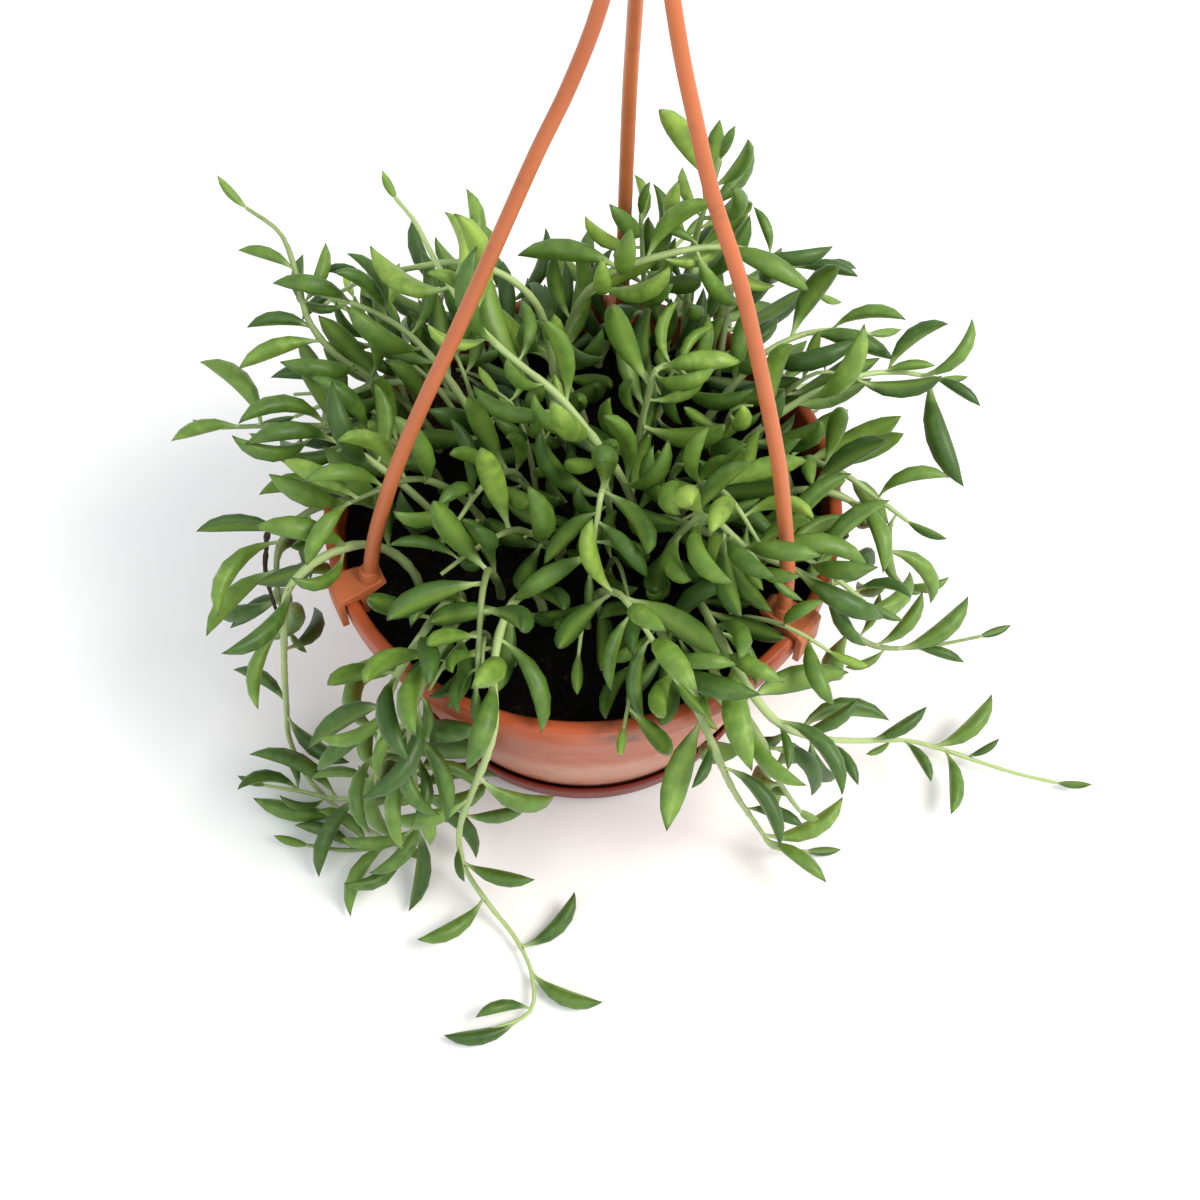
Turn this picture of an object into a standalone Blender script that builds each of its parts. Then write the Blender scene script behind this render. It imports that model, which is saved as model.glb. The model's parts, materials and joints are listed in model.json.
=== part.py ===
"""Potted string of bananas: a hanging pot in its saucer, a clipped-on hanger and trailing leafy stems.

The object stands on its saucer at z = 0, with its origin at the middle of the saucer's underside.
Sizes and places below are in millimetres, and MM turns them into Blender's metres.
"""

import math

import bmesh
import bpy
import numpy as np
from mathutils import Matrix, Vector

MM = 0.001
CLEARANCE = 0.3
FULL_TURN = 2.0 * math.pi
MERGE_DISTANCE = 1e-5
SHARP_DEGREES = 40.0
COLLECTION_NAME = "potted_string_of_bananas"

# Pot and saucer
POT_SIDES = 30
RIM_RADIUS = 78.0
RIM_TOP = 95.0
LIP_HEIGHT = 11.0
LIP_WIDTH = 4.0
LIP_ROUNDING = 1.5
WALL = 1.6
POT_FLOOR_TOP = 4.4
POT_FLOOR_RADIUS = 51.0
POT_BOTTOM = 2.1
POT_FOOT_RADIUS = 51.0
# Radius and height down the outside of the pot's wall, from under the lip to the foot
POT_OUTLINE = ((75.8, 84.0), (72.6, 70.0), (67.2, 45.0), (61.8, 22.0), (57.6, 6.5))
DRAIN_HOLE_RADIUS = 2.8
DRAIN_HOLE_RING = 30.0
DRAIN_HOLE_COUNT = 4
SAUCER_RIM_RADIUS = 61.5
SAUCER_HEIGHT = 12.0
SAUCER_WALL = 1.5
SAUCER_FLOOR_RADIUS = 58.5
SAUCER_ROUNDING = 0.8

# Soil
SOIL_SIDES = 30
SOIL_LEVEL = 82.0
SOIL_UNEVENNESS = 3.0
SOIL_RINGS = (20.0, 40.0, 57.0)
SOIL_WALL_LEVELS = (40.0, 8.0)

# Hanger
HUB_CENTRE = (13.0, 0.0, 312.0)
HUB_RADIUS = 7.5
HUB_HEIGHT = 8.0
HUB_SIDES = 16
ARM_FOOT_RADIUS = 2.2
ARM_TOP_RADIUS = 1.65
ARM_POINTS = 12
ARM_ROUNDNESS = 1
HOOK_WIRE_RADIUS = 2.2
HOOK_RADIUS = 12.0
HOOK_RISE = 25.0
HOOK_NECK_HEIGHT = 6.0
HOOK_NECK_TURN = (2.6, 11.5)
HOOK_START_DEGREES = -42.0
HOOK_END_DEGREES = 212.0
HOOK_STEPS = 11
CLIP_WIDTH = 11.0
CLIP_THICKNESS = 2.1
CLIP_INNER_REACH = 64.5
CLIP_OUTER_BOTTOM = 84.0
CLIP_INNER_BOTTOM = 87.0
CLIP_CHAMFER = 1.4
KNOB_RADIUS = 3.7
KNOB_HEIGHT = 5.5
KNOB_SIDES = 10

# Each arm has its clip at an azimuth in degrees, and a route from the clip up to the hub
ARMS = (
    (205.0, ((-62.0, -28.9, 97.0), (-58.3, -27.4, 116.0), (-52.6, -25.2, 136.0), (-46.5, -22.9, 154.0),
             (-39.0, -20.0, 173.0), (-31.2, -17.0, 191.5), (-20.4, -12.9, 218.0), (-9.1, -8.5, 246.0),
             (-1.2, -5.5, 264.0), (5.5, -2.9, 284.0), (10.5, -0.5, 311.0))),
    (325.0, ((58.0, -40.6, 97.0), (56.8, -39.8, 120.0), (53.3, -37.3, 147.0), (49.0, -34.0, 172.0),
             (37.8, -26.0, 220.0), (29.5, -20.5, 246.0), (25.0, -17.0, 264.0), (20.5, -13.0, 284.0),
             (15.5, -2.5, 311.0))),
    (80.0, ((12.2, 69.2, 97.0), (12.2, 67.0, 120.0), (12.2, 60.0, 150.0), (12.3, 50.0, 185.0),
            (12.4, 38.0, 220.0), (12.8, 26.0, 252.0), (13.2, 13.5, 285.0), (13.3, 2.5, 311.0))),
)

# Stems
STEM_FOOT_RADIUS = 1.4
STEM_TIP_RADIUS = 0.95
STEM_ROUNDNESS = 0
STEM_STEP = 13.0
ROOT_DEPTH = 9.0
COLLAR_HEIGHT = 4.0
HOLE_SIDES = 5
HOLE_RADIUS = 2.15
FEWEST_STEM_POINTS = 4
CURVE_STEPS = 16

# The routes that show best, from the soil to the tip, as points chosen by hand
TRAILING_ROUTES = (
    # front stem, down to the surface and forward along it
    ((-12, -33, 82), (-15, -36, 100), (-21, -48, 110), (-24, -66, 110), (-24, -80, 101), (-30, -84, 76),
     (-37, -86, 46), (-38, -89, 22), (-33, -95, 10), (-26, -103, 5), (-19, -112, 4), (-16, -121, 4),
     (-15, -129, 4), (-20, -134, 4), (-28, -137, 4)),
    # thin stem on the left that meets the surface
    ((-50, -22, 82), (-57, -24, 100), (-70, -31, 110), (-84, -36, 99), (-92, -36, 62), (-98, -36, 24),
     (-99, -42, 8), (-91, -56, 5), (-77, -68, 4), (-62, -77, 4)),
    # lower left clump
    ((-36, -30, 82), (-38, -38, 100), (-46, -58, 109), (-54, -68, 98), (-60, -70, 66), (-66, -66, 30),
     (-78, -63, 9), (-96, -58, 5), (-106, -56, 4)),
    ((-30, -36, 82), (-33, -42, 101), (-40, -62, 110), (-47, -74, 98), (-50, -77, 62), (-52, -76, 26),
     (-58, -77, 9), (-74, -79, 5), (-90, -77, 4)),
    # right stem, whose thin tip reaches furthest
    ((32, -32, 82), (34, -40, 100), (41, -62, 110), (51, -74, 100), (67, -66, 66), (86, -54, 36),
     (106, -45, 16), (123, -46, 8), (140, -51, 5), (157, -55, 4)),
    # right stem at middle height, ending in a fan
    ((20, -10, 82), (22, -13, 104), (30, -21, 113), (42, -28, 117), (55, -35, 116), (67, -35, 109),
     (76, -37, 94), (83, -37, 76), (95, -32, 58), (112, -25, 46), (128, -19, 40)),
    # right stem above it
    ((40, 8, 82), (46, 10, 104), (58, 14, 118), (72, 18, 126), (88, 23, 126), (106, 27, 117)),
    # lower right stem
    ((18, -38, 82), (20, -46, 102), (27, -66, 110), (35, -80, 98), (44, -82, 64), (54, -80, 30),
     (62, -80, 9), (72, -79, 4)),
    # long stem that arches over the back
    ((-8, 44, 82), (-6, 43, 112), (2, 42, 140), (20, 44, 151), (40, 50, 149), (58, 56, 136), (72, 60, 116)),
    # stem that arches to the back left
    ((-8, 33, 82), (-9, 35, 112), (-14, 38, 140), (-30, 42, 151), (-50, 48, 142), (-68, 56, 126),
     (-80, 63, 108)),
    # long stem from the middle over the pot to the far left
    ((16, -6, 82), (14, -7, 106), (6, -6, 128), (-8, 4, 143), (-24, 14, 151), (-37, 30, 157),
     (-46, 48, 160), (-53, 60, 158)),
    # top left tip
    ((-46, 26, 82), (-53, 27, 104), (-66, 28, 120), (-78, 33, 130), (-82, 44, 140), (-86, 54, 147),
     (-91, 59, 151), (-97, 62, 152)),
    # far left
    ((-44, 10, 82), (-50, 10, 102), (-64, 10, 114), (-82, 13, 113), (-100, 19, 104), (-112, 24, 96)),
    # upright stems behind the right arm
    ((30, 54, 82), (31, 57, 110), (32, 59, 136), (35, 58, 158), (38, 57, 177)),
    ((20, 56, 82), (19, 57, 106), (17, 56, 132), (15, 57, 156)),
    # left side, below the rim
    ((-52, -6, 82), (-60, -8, 102), (-74, -12, 110), (-88, -17, 99), (-93, -22, 76), (-92, -26, 56)),
    # right side, below the rim
    ((50, -4, 82), (57, -5, 102), (70, -8, 111), (84, -12, 102), (92, -14, 80), (100, -12, 62)),
    # front right, hanging over the rim
    ((26, -44, 82), (30, -52, 102), (38, -68, 108), (50, -78, 92), (58, -80, 64), (66, -80, 42)),
    # back, down to the surface behind the pot
    ((24, 46, 82), (27, 54, 104), (34, 70, 112), (40, 84, 98), (46, 92, 60), (54, 97, 22),
     (66, 103, 7), (84, 108, 4)),
    # back left, hanging over the rim
    ((-28, 44, 82), (-32, 53, 97), (-38, 67, 103), (-46, 82, 90), (-51, 88, 62), (-55, 91, 36)),
    # left clump, over the rim and above it
    ((-37, -11, 82), (-46, -10, 106), (-60, -4, 119), (-75, 4, 121), (-90, 9, 112)),
    ((-27, 20, 82), (-35, 24, 108), (-48, 32, 128), (-63, 39, 135), (-77, 47, 131)),
    # right side, over the rim
    ((34, 25, 82), (43, 29, 106), (56, 36, 120), (72, 42, 121), (87, 47, 113)),
)

# Leaves set by hand where the photo shows them clear of the rest: the number of the stem, where the leaf
# leaves it, where it ends, the side it bends to, and how far it bends in degrees
PLACED_LEAVES = (
    (0, (-31, -97, 10), (-52, -111, 12), (-0.5, 0.9, 0.5), 55),
    (0, (-38, -89, 22), (-15, -96, 25), (0.3, 0.9, 0.5), 34),
    (0, (-36, -86, 53), (-16, -84, 57), (0.0, 0.9, 0.5), 40),
    (0, (-38, -87, 32), (-36, -100, 34), (1.0, 0.2, 0.1), 30),
    (0, (-21, -111, 5), (-3, -94, 8), (-1.0, 0.9, 0.5), 66),
    (0, (-17, -119, 4), (6, -129, 6), (0.6, 0.9, 0.5), 56),
    (0, (-20, -133, 4), (-43, -139, 5), (-0.2, 0.9, 0.5), 48),
    (0, (-17, -130, 4), (-33, -135, 10), (0.1, -0.9, -0.5), 55),
    (1, (-98, -36, 23), (-116, -24, 26), (-0.6, -0.9, -0.5), 60),
    (1, (-98, -37, 17), (-77, -52, 14), (1.0, 0.7, 0.4), 45),
    (1, (-82, -63, 3), (-98, -59, 7), (0.0, 0.9, 0.5), 45),
    (1, (-79, -65, 3), (-109, -62, 5), (0.0, 0.9, 0.5), 28),
    (7, (59, -80, 17), (76, -95, 19), (-0.5, -0.9, -0.5), 26),
    (7, (49, -81, 46), (66, -89, 51), (0.2, -0.9, -0.5), 40),
    (7, (57, -80, 21), (82, -69, 25), (-0.2, 0.9, 0.5), 72),
    (7, (36, -81, 96), (30, -95, 96), (-1.0, 0.2, 0.1), 35),
    (7, (42, -82, 71), (61, -82, 74), (0.0, 0.9, 0.5), 40),
    (4, (72, -63, 56), (82, -78, 57), (-1.0, -0.3, -0.1), 40),
    (4, (55, -73, 92), (57, -88, 92), (-1.0, 0.1, 0.0), 38),
    (4, (62, -69, 76), (80, -61, 82), (-0.5, 0.9, 0.5), 50),
    (4, (91, -51, 30), (110, -41, 34), (-0.3, 0.9, 0.5), 34),
    (4, (105, -46, 17), (112, -61, 19), (-1.0, -0.4, -0.2), 44),
    (4, (101, -47, 21), (91, -53, 23), (0.0, 0.9, 0.5), 30),
    (4, (115, -45, 11), (136, -28, 16), (-0.7, 0.9, 0.5), 62),
    (4, (120, -45, 9), (119, -69, 11), (-1.0, 0.0, 0.0), 48),
    (4, (127, -47, 7), (138, -42, 11), (-0.2, 0.9, 0.5), 30),
    (5, (99, -30, 56), (121, -15, 60), (-0.8, 0.9, 0.5), 58),
    (5, (92, -34, 66), (104, -20, 72), (-1.0, 0.4, 0.2), 58),
    (5, (88, -37, 77), (89, -26, 82), (-1.0, 0.2, 0.1), 34),
    (5, (104, -28, 52), (120, -33, 52), (0.1, -0.9, -0.5), 24),
    (5, (95, -32, 60), (81, -38, 56), (-0.2, 0.9, 0.5), 52),
    (16, (98, -12, 65), (114, -12, 67), (0.0, 0.9, 0.5), 76),
    (16, (78, -10, 107), (101, -11, 109), (0.0, 0.9, 0.5), 24),
    (6, (103, 26, 119), (112, -4, 106), (1.0, 0.4, 0.2), 34),
    (6, (103, 26, 119), (117, 17, 117), (-0.2, -0.9, -0.5), 30),
    (6, (87, 23, 126), (102, 22, 130), (0.0, -0.9, -0.5), 28),
    (22, (66, 40, 122), (92, 30, 122), (0.2, -0.9, -0.5), 36),
    (8, (62, 57, 131), (82, 54, 131), (0.0, -0.9, -0.5), 40),
    (8, (55, 55, 139), (50, 67, 147), (-1.0, 0.0, 0.0), 44),
    (8, (11, 43, 148), (-19, 51, 144), (0.0, -0.9, -0.5), 44),
    (8, (34, 48, 151), (22, 52, 154), (0.2, -0.9, -0.5), 46),
    (13, (35, 58, 156), (49, 79, 160), (-1.0, 0.2, 0.1), 44),
    (13, (34, 58, 152), (29, 74, 156), (1.0, 0.0, 0.0), 42),
    (14, (17, 56, 152), (15, 71, 156), (-1.0, 0.0, 0.0), 60),
    (14, (17, 56, 156), (6, 60, 160), (0.0, -0.9, -0.5), 50),
    (9, (-32, 43, 150), (-33, 62, 160), (-1.0, 0.0, 0.0), 58),
    (9, (-64, 54, 130), (-78, 55, 132), (0.1, -0.9, -0.5), 60),
    (9, (-64, 54, 130), (-60, 38, 126), (-1.0, 0.0, 0.0), 30),
    (9, (-73, 59, 120), (-85, 48, 118), (0.5, -0.9, -0.5), 50),
    (11, (-85, 45, 144), (-100, 53, 144), (-0.1, -0.9, -0.5), 46),
    (11, (-82, 38, 136), (-82, 56, 142), (1.0, 0.0, 0.0), 42),
    (11, (-82, 39, 137), (-75, 57, 143), (-1.0, 0.4, 0.2), 40),
    (11, (-78, 34, 131), (-98, 35, 131), (-0.5, -0.9, -0.5), 66),
    (11, (-76, 32, 129), (-100, 23, 127), (0.1, -0.9, -0.5), 40),
    (12, (-104, 21, 102), (-125, 17, 99), (0.1, -0.9, -0.5), 44),
    (12, (-96, 18, 106), (-116, 37, 112), (-0.6, -0.9, -0.5), 72),
)
# Shares of their own stems along which the other leaves still grow
SPIRAL_SHARES = {0: 0.52, 1: 0.5, 4: 0.46, 5: 0.66, 7: 0.5, 9: 0.35, 10: 0.78, 11: 0.5, 12: 0.55}

# Short stems fill the pot between them, rooted on a spiral round the plant's own middle
GOLDEN_ANGLE = math.radians(137.508)
BUSH_SEED = 41
BUSH_PLACES = 24
BUSH_CENTRE = (7.0, 9.0)
BUSH_RADIUS = 53.0
ROOTS_APART = 7.0
BUSH_LEAN_CHANGE = 0.9
BUSH_HEIGHT = (46.0, 68.0)
BUSH_EDGE_LOSS = 16.0
BUSH_REACH = 20.0
BUSH_EDGE_REACH = (24.0, 36.0)
BUSH_DROP = (0.1, 0.45)
BUSH_BACK_START = 12.0
BUSH_BACK_SHARE = 0.64
BUSH_SHARES = (0.0, 0.3, 0.6, 1.0)
BUSH_PEAK = 0.8
BUSH_TURN = 0.6
BUSH_OUTWARD_POWER = 1.5

# Room between stems, and round the pot, soil, surface and hanger
SETTLE_ROUNDS = 70
UNEASED_ROUNDS = 12
SETTLE_RATE = 1.6
SEGMENT_SHARES = (0.0, 0.25, 0.5, 0.75)
STEM_APART = 4.3
STEM_GUARD = 2.3
FLOOR_GUARD = 1.9
ARM_GUARD_POINTS = 90
ARM_GUARD_RADIUS = 2.65
CLIP_GUARD_REACHES = (65.0, 68.0, 71.0, 74.0, 77.0, 80.0)
CLIP_GUARD_SIDES = (-3.5, 0.0, 3.5)
CLIP_GUARD_LEVELS = (96.0, 90.0, 86.0)
CLIP_GUARD_LEG_REACH = 76.0
CLIP_GUARD_RADIUS = 2.9
INSIDE_RADIUS = 75.0
INSIDE_LEVEL = 60.0
NOWHERE = -1000.0
# Both ends of each straight stretch of wall as radius and height, and its half thickness
POT_SECTION = (
    ((76.0, 86.5), (76.0, 93.0), 2.2),
    ((75.0, 84.0), (71.8, 70.0), 0.9),
    ((71.8, 70.0), (66.4, 45.0), 0.9),
    ((66.4, 45.0), (61.0, 22.0), 0.9),
    ((61.0, 22.0), (56.8, 6.5), 0.9),
    ((60.7, 11.0), (58.5, 1.0), 1.0),
    ((58.5, 1.0), (0.0, 1.0), 1.0),
)

# Leaves
LEAF_SEED = 700
LEAF_LENGTH = (27.0, 35.0)
LEAF_WIDTH_RATIO = 0.215
LEAF_DEPTH_RATIO = 0.185
LEAF_OPENING_DEGREES = (44.0, 74.0)
BUSH_OPENING_DEGREES = (66.0, 98.0)
LEAF_BEND_DEGREES = (58.0, 104.0)
TRAILING_LEAF_SPACING = 12.7
BUSH_LEAF_SPACING = 8.3
ARCH_LEAF_SPACING = 21.0
# Numbers of the routes that arch over the back with few leaves
ARCHES = (8, 9)
SPACING_CHANGE = (0.8, 1.2)
FIRST_LEAF_HEIGHT = (11.0, 17.0)
LAST_LEAF_FROM_TIP = 3.0
TURN_CHANGE = 0.3
YOUNG_STRETCH = 26.0
YOUNG_LOSS = 0.4
CURL_ALONG = 0.75
CURL_UP = 0.45
CURL_SIDE = 1.1
SKEW_UP = (0.31, 0.17, 0.94)
TIP_LEAF_LENGTH = (11.0, 16.0)
TIP_LEAF_WIDTH_RATIO = 0.23
TIP_LEAF_DEPTH_RATIO = 0.185
TIP_LEAF_BEND_DEGREES = 30.0
TIP_LEAF_OVERLAP = 1.5
LEAF_SIDES = 3
SECTION_OVERSIZE = 1.12
# Distance along the leaf and half width there, both as shares of the greatest
LEAF_STATIONS = ((0.0, 0.0), (0.15, 0.46), (0.45, 1.0), (0.76, 0.74), (1.0, 0.0))
BALL_SHARES = np.array((0.12, 0.22, 0.33, 0.45, 0.56, 0.67, 0.78, 0.88, 0.97))
SMALLEST_BALL = 0.5
ROOT_BALLS = 2
OWN_STEM_BALLS = 4
LEAF_GAP = 0.45
LIFT_TRIES = (0.0, 1.5, 3.0, 5.0, 8.0, -3.0, -6.0)
TURN_TRIES = (0.0, 0.5, -0.5, 1.0, -1.0, 1.6, -1.6, 2.3, -2.3, 3.1)
SIZE_TRIES = (1.0, 0.86, 0.72)
STEM_BALL_SHARES = (0.0, 0.2, 0.4, 0.6, 0.8)
STEM_BALL_RADIUS = 1.65
HANGER_OWNER = -1
STEM_OWNER = 1000

# Base colour and roughness of each material
COLOURS = {
    "pot": ((0.50, 0.11, 0.045), 0.32),
    "saucer": ((0.23, 0.03, 0.012), 0.38),
    "hanger": ((0.60, 0.17, 0.065), 0.36),
    "soil": ((0.012, 0.009, 0.007), 0.95),
    "leafy_stem": ((0.11, 0.27, 0.055), 0.42),
}


# Scene, materials and objects


def clear_scene():
    """Remove every object, so the script gives the same scene from any start."""
    for item in list(bpy.data.objects):
        bpy.data.objects.remove(item, do_unlink=True)


def new_collection(name):
    """Return a new collection, linked under the scene."""
    collection = bpy.data.collections.new(name)
    bpy.context.scene.collection.children.link(collection)
    return collection


def new_material(name):
    """Return the plain Principled BSDF material of one piece."""
    colour, roughness = COLOURS[name]
    material = bpy.data.materials.new(name)
    material.use_nodes = True
    shader = material.node_tree.nodes["Principled BSDF"]
    shader.inputs["Base Color"].default_value = (*colour, 1.0)
    shader.inputs["Roughness"].default_value = roughness
    shader.inputs["Metallic"].default_value = 0.0
    material.diffuse_color = (*colour, 1.0)
    return material


def link_mesh(name, mesh, collection, material=None):
    """Put a mesh in the scene as an object of one collection."""
    item = bpy.data.objects.new(name, mesh)
    collection.objects.link(item)
    if material:
        mesh.materials.clear()
        mesh.materials.append(material)
    return item


def mesh_as_shown(item, name):
    """Return a new mesh of the object with its modifiers and bevel in effect."""
    bpy.context.view_layer.update()
    evaluated = item.evaluated_get(bpy.context.evaluated_depsgraph_get())
    mesh = bpy.data.meshes.new_from_object(evaluated)
    mesh.name = name
    return mesh


def weld(mesh, matrix=None):
    """Merge a curve's loose caps to its wall, place the mesh and point its faces outward."""
    bm = bmesh.new()
    bm.from_mesh(mesh)
    bmesh.ops.remove_doubles(bm, verts=bm.verts, dist=MERGE_DISTANCE)
    if matrix:
        bmesh.ops.transform(bm, matrix=matrix, verts=bm.verts)
    bmesh.ops.recalc_face_normals(bm, faces=bm.faces)
    bm.to_mesh(mesh)
    bm.free()


def smooth_route(points, count):
    """Read evenly spaced points from a Catmull-Rom curve through the given ones."""
    known = np.array(points, dtype=float)
    padded = np.vstack([2.0 * known[0] - known[1], known, 2.0 * known[-1] - known[-2]])
    dense = []
    for i in range(1, len(padded) - 2):
        p0, p1, p2, p3 = padded[i - 1:i + 3]
        for step in range(CURVE_STEPS):
            t = step / CURVE_STEPS
            slope = (p2 - p0) * t
            bow = (2.0 * p0 - 5.0 * p1 + 4.0 * p2 - p3) * t ** 2
            twist = (3.0 * p1 - p0 - 3.0 * p2 + p3) * t ** 3
            dense.append(0.5 * (2.0 * p1 + slope + bow + twist))
    dense.append(known[-1])
    dense = np.array(dense)
    travelled = distances_along(dense)
    wanted = np.linspace(0.0, travelled[-1], count)
    return np.column_stack([np.interp(wanted, travelled, dense[:, k]) for k in range(3)])


def distances_along(path):
    """Distance from the path's start to each of its points."""
    steps = np.linalg.norm(np.diff(path, axis=0), axis=1)
    return np.concatenate([[0.0], np.cumsum(steps)])


def unit(vector):
    """A vector of length one in the same direction."""
    vector = np.array(vector, dtype=float)
    return vector / np.linalg.norm(vector)


def tube(name, points, radii, collection, roundness):
    """A tube along points, as a curve with filled caps that is then made a closed mesh."""
    curve = bpy.data.curves.new(name + "_curve", "CURVE")
    curve.dimensions = "3D"
    curve.bevel_depth = MM
    curve.bevel_resolution = roundness
    curve.use_fill_caps = True
    spline = curve.splines.new("POLY")
    spline.points.add(len(points) - 1)
    for point, place, radius in zip(spline.points, points, radii):
        point.co = (place[0] * MM, place[1] * MM, place[2] * MM, 1.0)
        point.radius = radius
    guide = bpy.data.objects.new(name + "_guide", curve)
    bpy.context.scene.collection.objects.link(guide)
    mesh = mesh_as_shown(guide, name)
    weld(mesh)
    item = link_mesh(name, mesh, collection)
    item.matrix_world = guide.matrix_world.copy()
    bpy.data.objects.remove(guide, do_unlink=True)
    return item


def join_all(base, parts):
    """Fuse the base with all objects of a collection in one union, then remove them."""
    union = base.modifiers.new("union", "BOOLEAN")
    union.operation = "UNION"
    union.operand_type = "COLLECTION"
    union.collection = parts
    union.use_self = True
    fused = mesh_as_shown(base, base.name)
    material = base.data.materials[0]
    base.modifiers.clear()
    base.data = fused
    fused.materials.clear()
    fused.materials.append(material)
    for item in list(parts.objects):
        bpy.data.objects.remove(item, do_unlink=True)
    bpy.data.collections.remove(parts)


def drill(item, name, places, radius, height, cutters):
    """Cut plain upright holes, each open from its place upward for a height."""
    bm = bmesh.new()
    for x, y, z in places:
        middle = Vector((x, y, z + height * 0.5)) * MM
        bmesh.ops.create_cone(
            bm, cap_ends=True, segments=HOLE_SIDES, radius1=radius * MM, radius2=radius * MM,
            depth=height * MM, matrix=Matrix.Translation(middle),
        )
    mesh = bpy.data.meshes.new(name + "_cutter")
    bm.to_mesh(mesh)
    bm.free()
    cutter = link_mesh(name + "_cutter", mesh, cutters)
    cutter.hide_render = True
    cutter.display_type = "WIRE"
    cut = item.modifiers.new(name, "BOOLEAN")
    cut.operation = "DIFFERENCE"
    cut.object = cutter


# Pot and saucer


def turned_piece(name, profile, collection):
    """Spin a profile of (radius, height) points, listed so that it runs down the outer side."""
    mesh = bpy.data.meshes.new(name)
    points = [(radius * MM, 0.0, height * MM) for radius, height in profile]
    mesh.from_pydata(points, [(i, i + 1) for i in range(len(points) - 1)], [])
    item = link_mesh(name, mesh, collection, new_material(name))
    screw = item.modifiers.new("turn", "SCREW")
    screw.steps = POT_SIDES
    screw.render_steps = POT_SIDES
    screw.use_merge_vertices = True
    screw.merge_threshold = MERGE_DISTANCE
    screw.use_smooth_shade = True
    return item


def inner_radius(height):
    """Inner radius of the pot's wall at a height, from its outer outline."""
    heights = [z for _, z in reversed(POT_OUTLINE)]
    radii = [r - WALL for r, _ in reversed(POT_OUTLINE)]
    return float(np.interp(height, heights, radii))


def pot_profile():
    """Half section of the pot: up the inside, over the rolled lip and down the outside."""
    lip_inner = RIM_RADIUS - LIP_WIDTH
    lip_bottom = RIM_TOP - LIP_HEIGHT
    inside = [(0.0, POT_FLOOR_TOP), (POT_FLOOR_RADIUS, POT_FLOOR_TOP)]
    inside += [(r - WALL, z) for r, z in reversed(POT_OUTLINE[1:])]
    lip = [
        (lip_inner, lip_bottom),
        (lip_inner, RIM_TOP - LIP_ROUNDING),
        (lip_inner + LIP_ROUNDING, RIM_TOP),
        (RIM_RADIUS - LIP_ROUNDING, RIM_TOP),
        (RIM_RADIUS, RIM_TOP - LIP_ROUNDING),
        (RIM_RADIUS, lip_bottom + LIP_ROUNDING),
    ]
    foot = [
        (POT_FOOT_RADIUS + LIP_ROUNDING, POT_BOTTOM + WALL * 0.5),
        (POT_FOOT_RADIUS, POT_BOTTOM),
        (0.0, POT_BOTTOM),
    ]
    return inside + lip + list(POT_OUTLINE) + foot


def make_pot(collection, cutters):
    """The pot with its rolled rim and drain holes."""
    pot = turned_piece("pot", pot_profile(), collection)
    places = []
    for number in range(DRAIN_HOLE_COUNT):
        angle = FULL_TURN * (number + 0.5) / DRAIN_HOLE_COUNT
        places.append((DRAIN_HOLE_RING * math.cos(angle), DRAIN_HOLE_RING * math.sin(angle), 0.0))
    drill(pot, "drain_holes", places, DRAIN_HOLE_RADIUS, 2.0 * POT_FLOOR_TOP, cutters)


def make_saucer(collection):
    """The shallow saucer under the pot, flat where it stands."""
    profile = [
        (0.0, SAUCER_WALL),
        (SAUCER_FLOOR_RADIUS - SAUCER_ROUNDING, SAUCER_WALL),
        (SAUCER_RIM_RADIUS - SAUCER_WALL, SAUCER_HEIGHT - SAUCER_ROUNDING),
        (SAUCER_RIM_RADIUS - SAUCER_WALL * 0.5, SAUCER_HEIGHT),
        (SAUCER_RIM_RADIUS, SAUCER_HEIGHT - SAUCER_ROUNDING),
        (SAUCER_RIM_RADIUS, SAUCER_HEIGHT - SAUCER_WALL),
        (SAUCER_FLOOR_RADIUS + SAUCER_ROUNDING, SAUCER_ROUNDING),
        (SAUCER_FLOOR_RADIUS - SAUCER_ROUNDING, 0.0),
        (0.0, 0.0),
    ]
    turned_piece("saucer", profile, collection)


# Soil


def soil_height(x, y):
    """Height of the soil's uneven top at a place, or at arrays of places."""
    waves = 1.3 * np.sin(0.11 * x + 0.6) * np.cos(0.13 * y)
    crumbs = 0.8 * np.sin(0.37 * x + 1.1) * np.sin(0.31 * y + 0.4)
    return SOIL_LEVEL + waves + crumbs


def ring_of_points(bm, radius, level=None):
    """Add one ring of points at a level, or on the soil's uneven top where none is given."""
    ring = []
    for i in range(SOIL_SIDES):
        angle = FULL_TURN * i / SOIL_SIDES
        x = radius * math.cos(angle)
        y = radius * math.sin(angle)
        z = soil_height(x, y) if level is None else level
        ring.append(bm.verts.new((x * MM, y * MM, z * MM)))
    return ring


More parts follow.
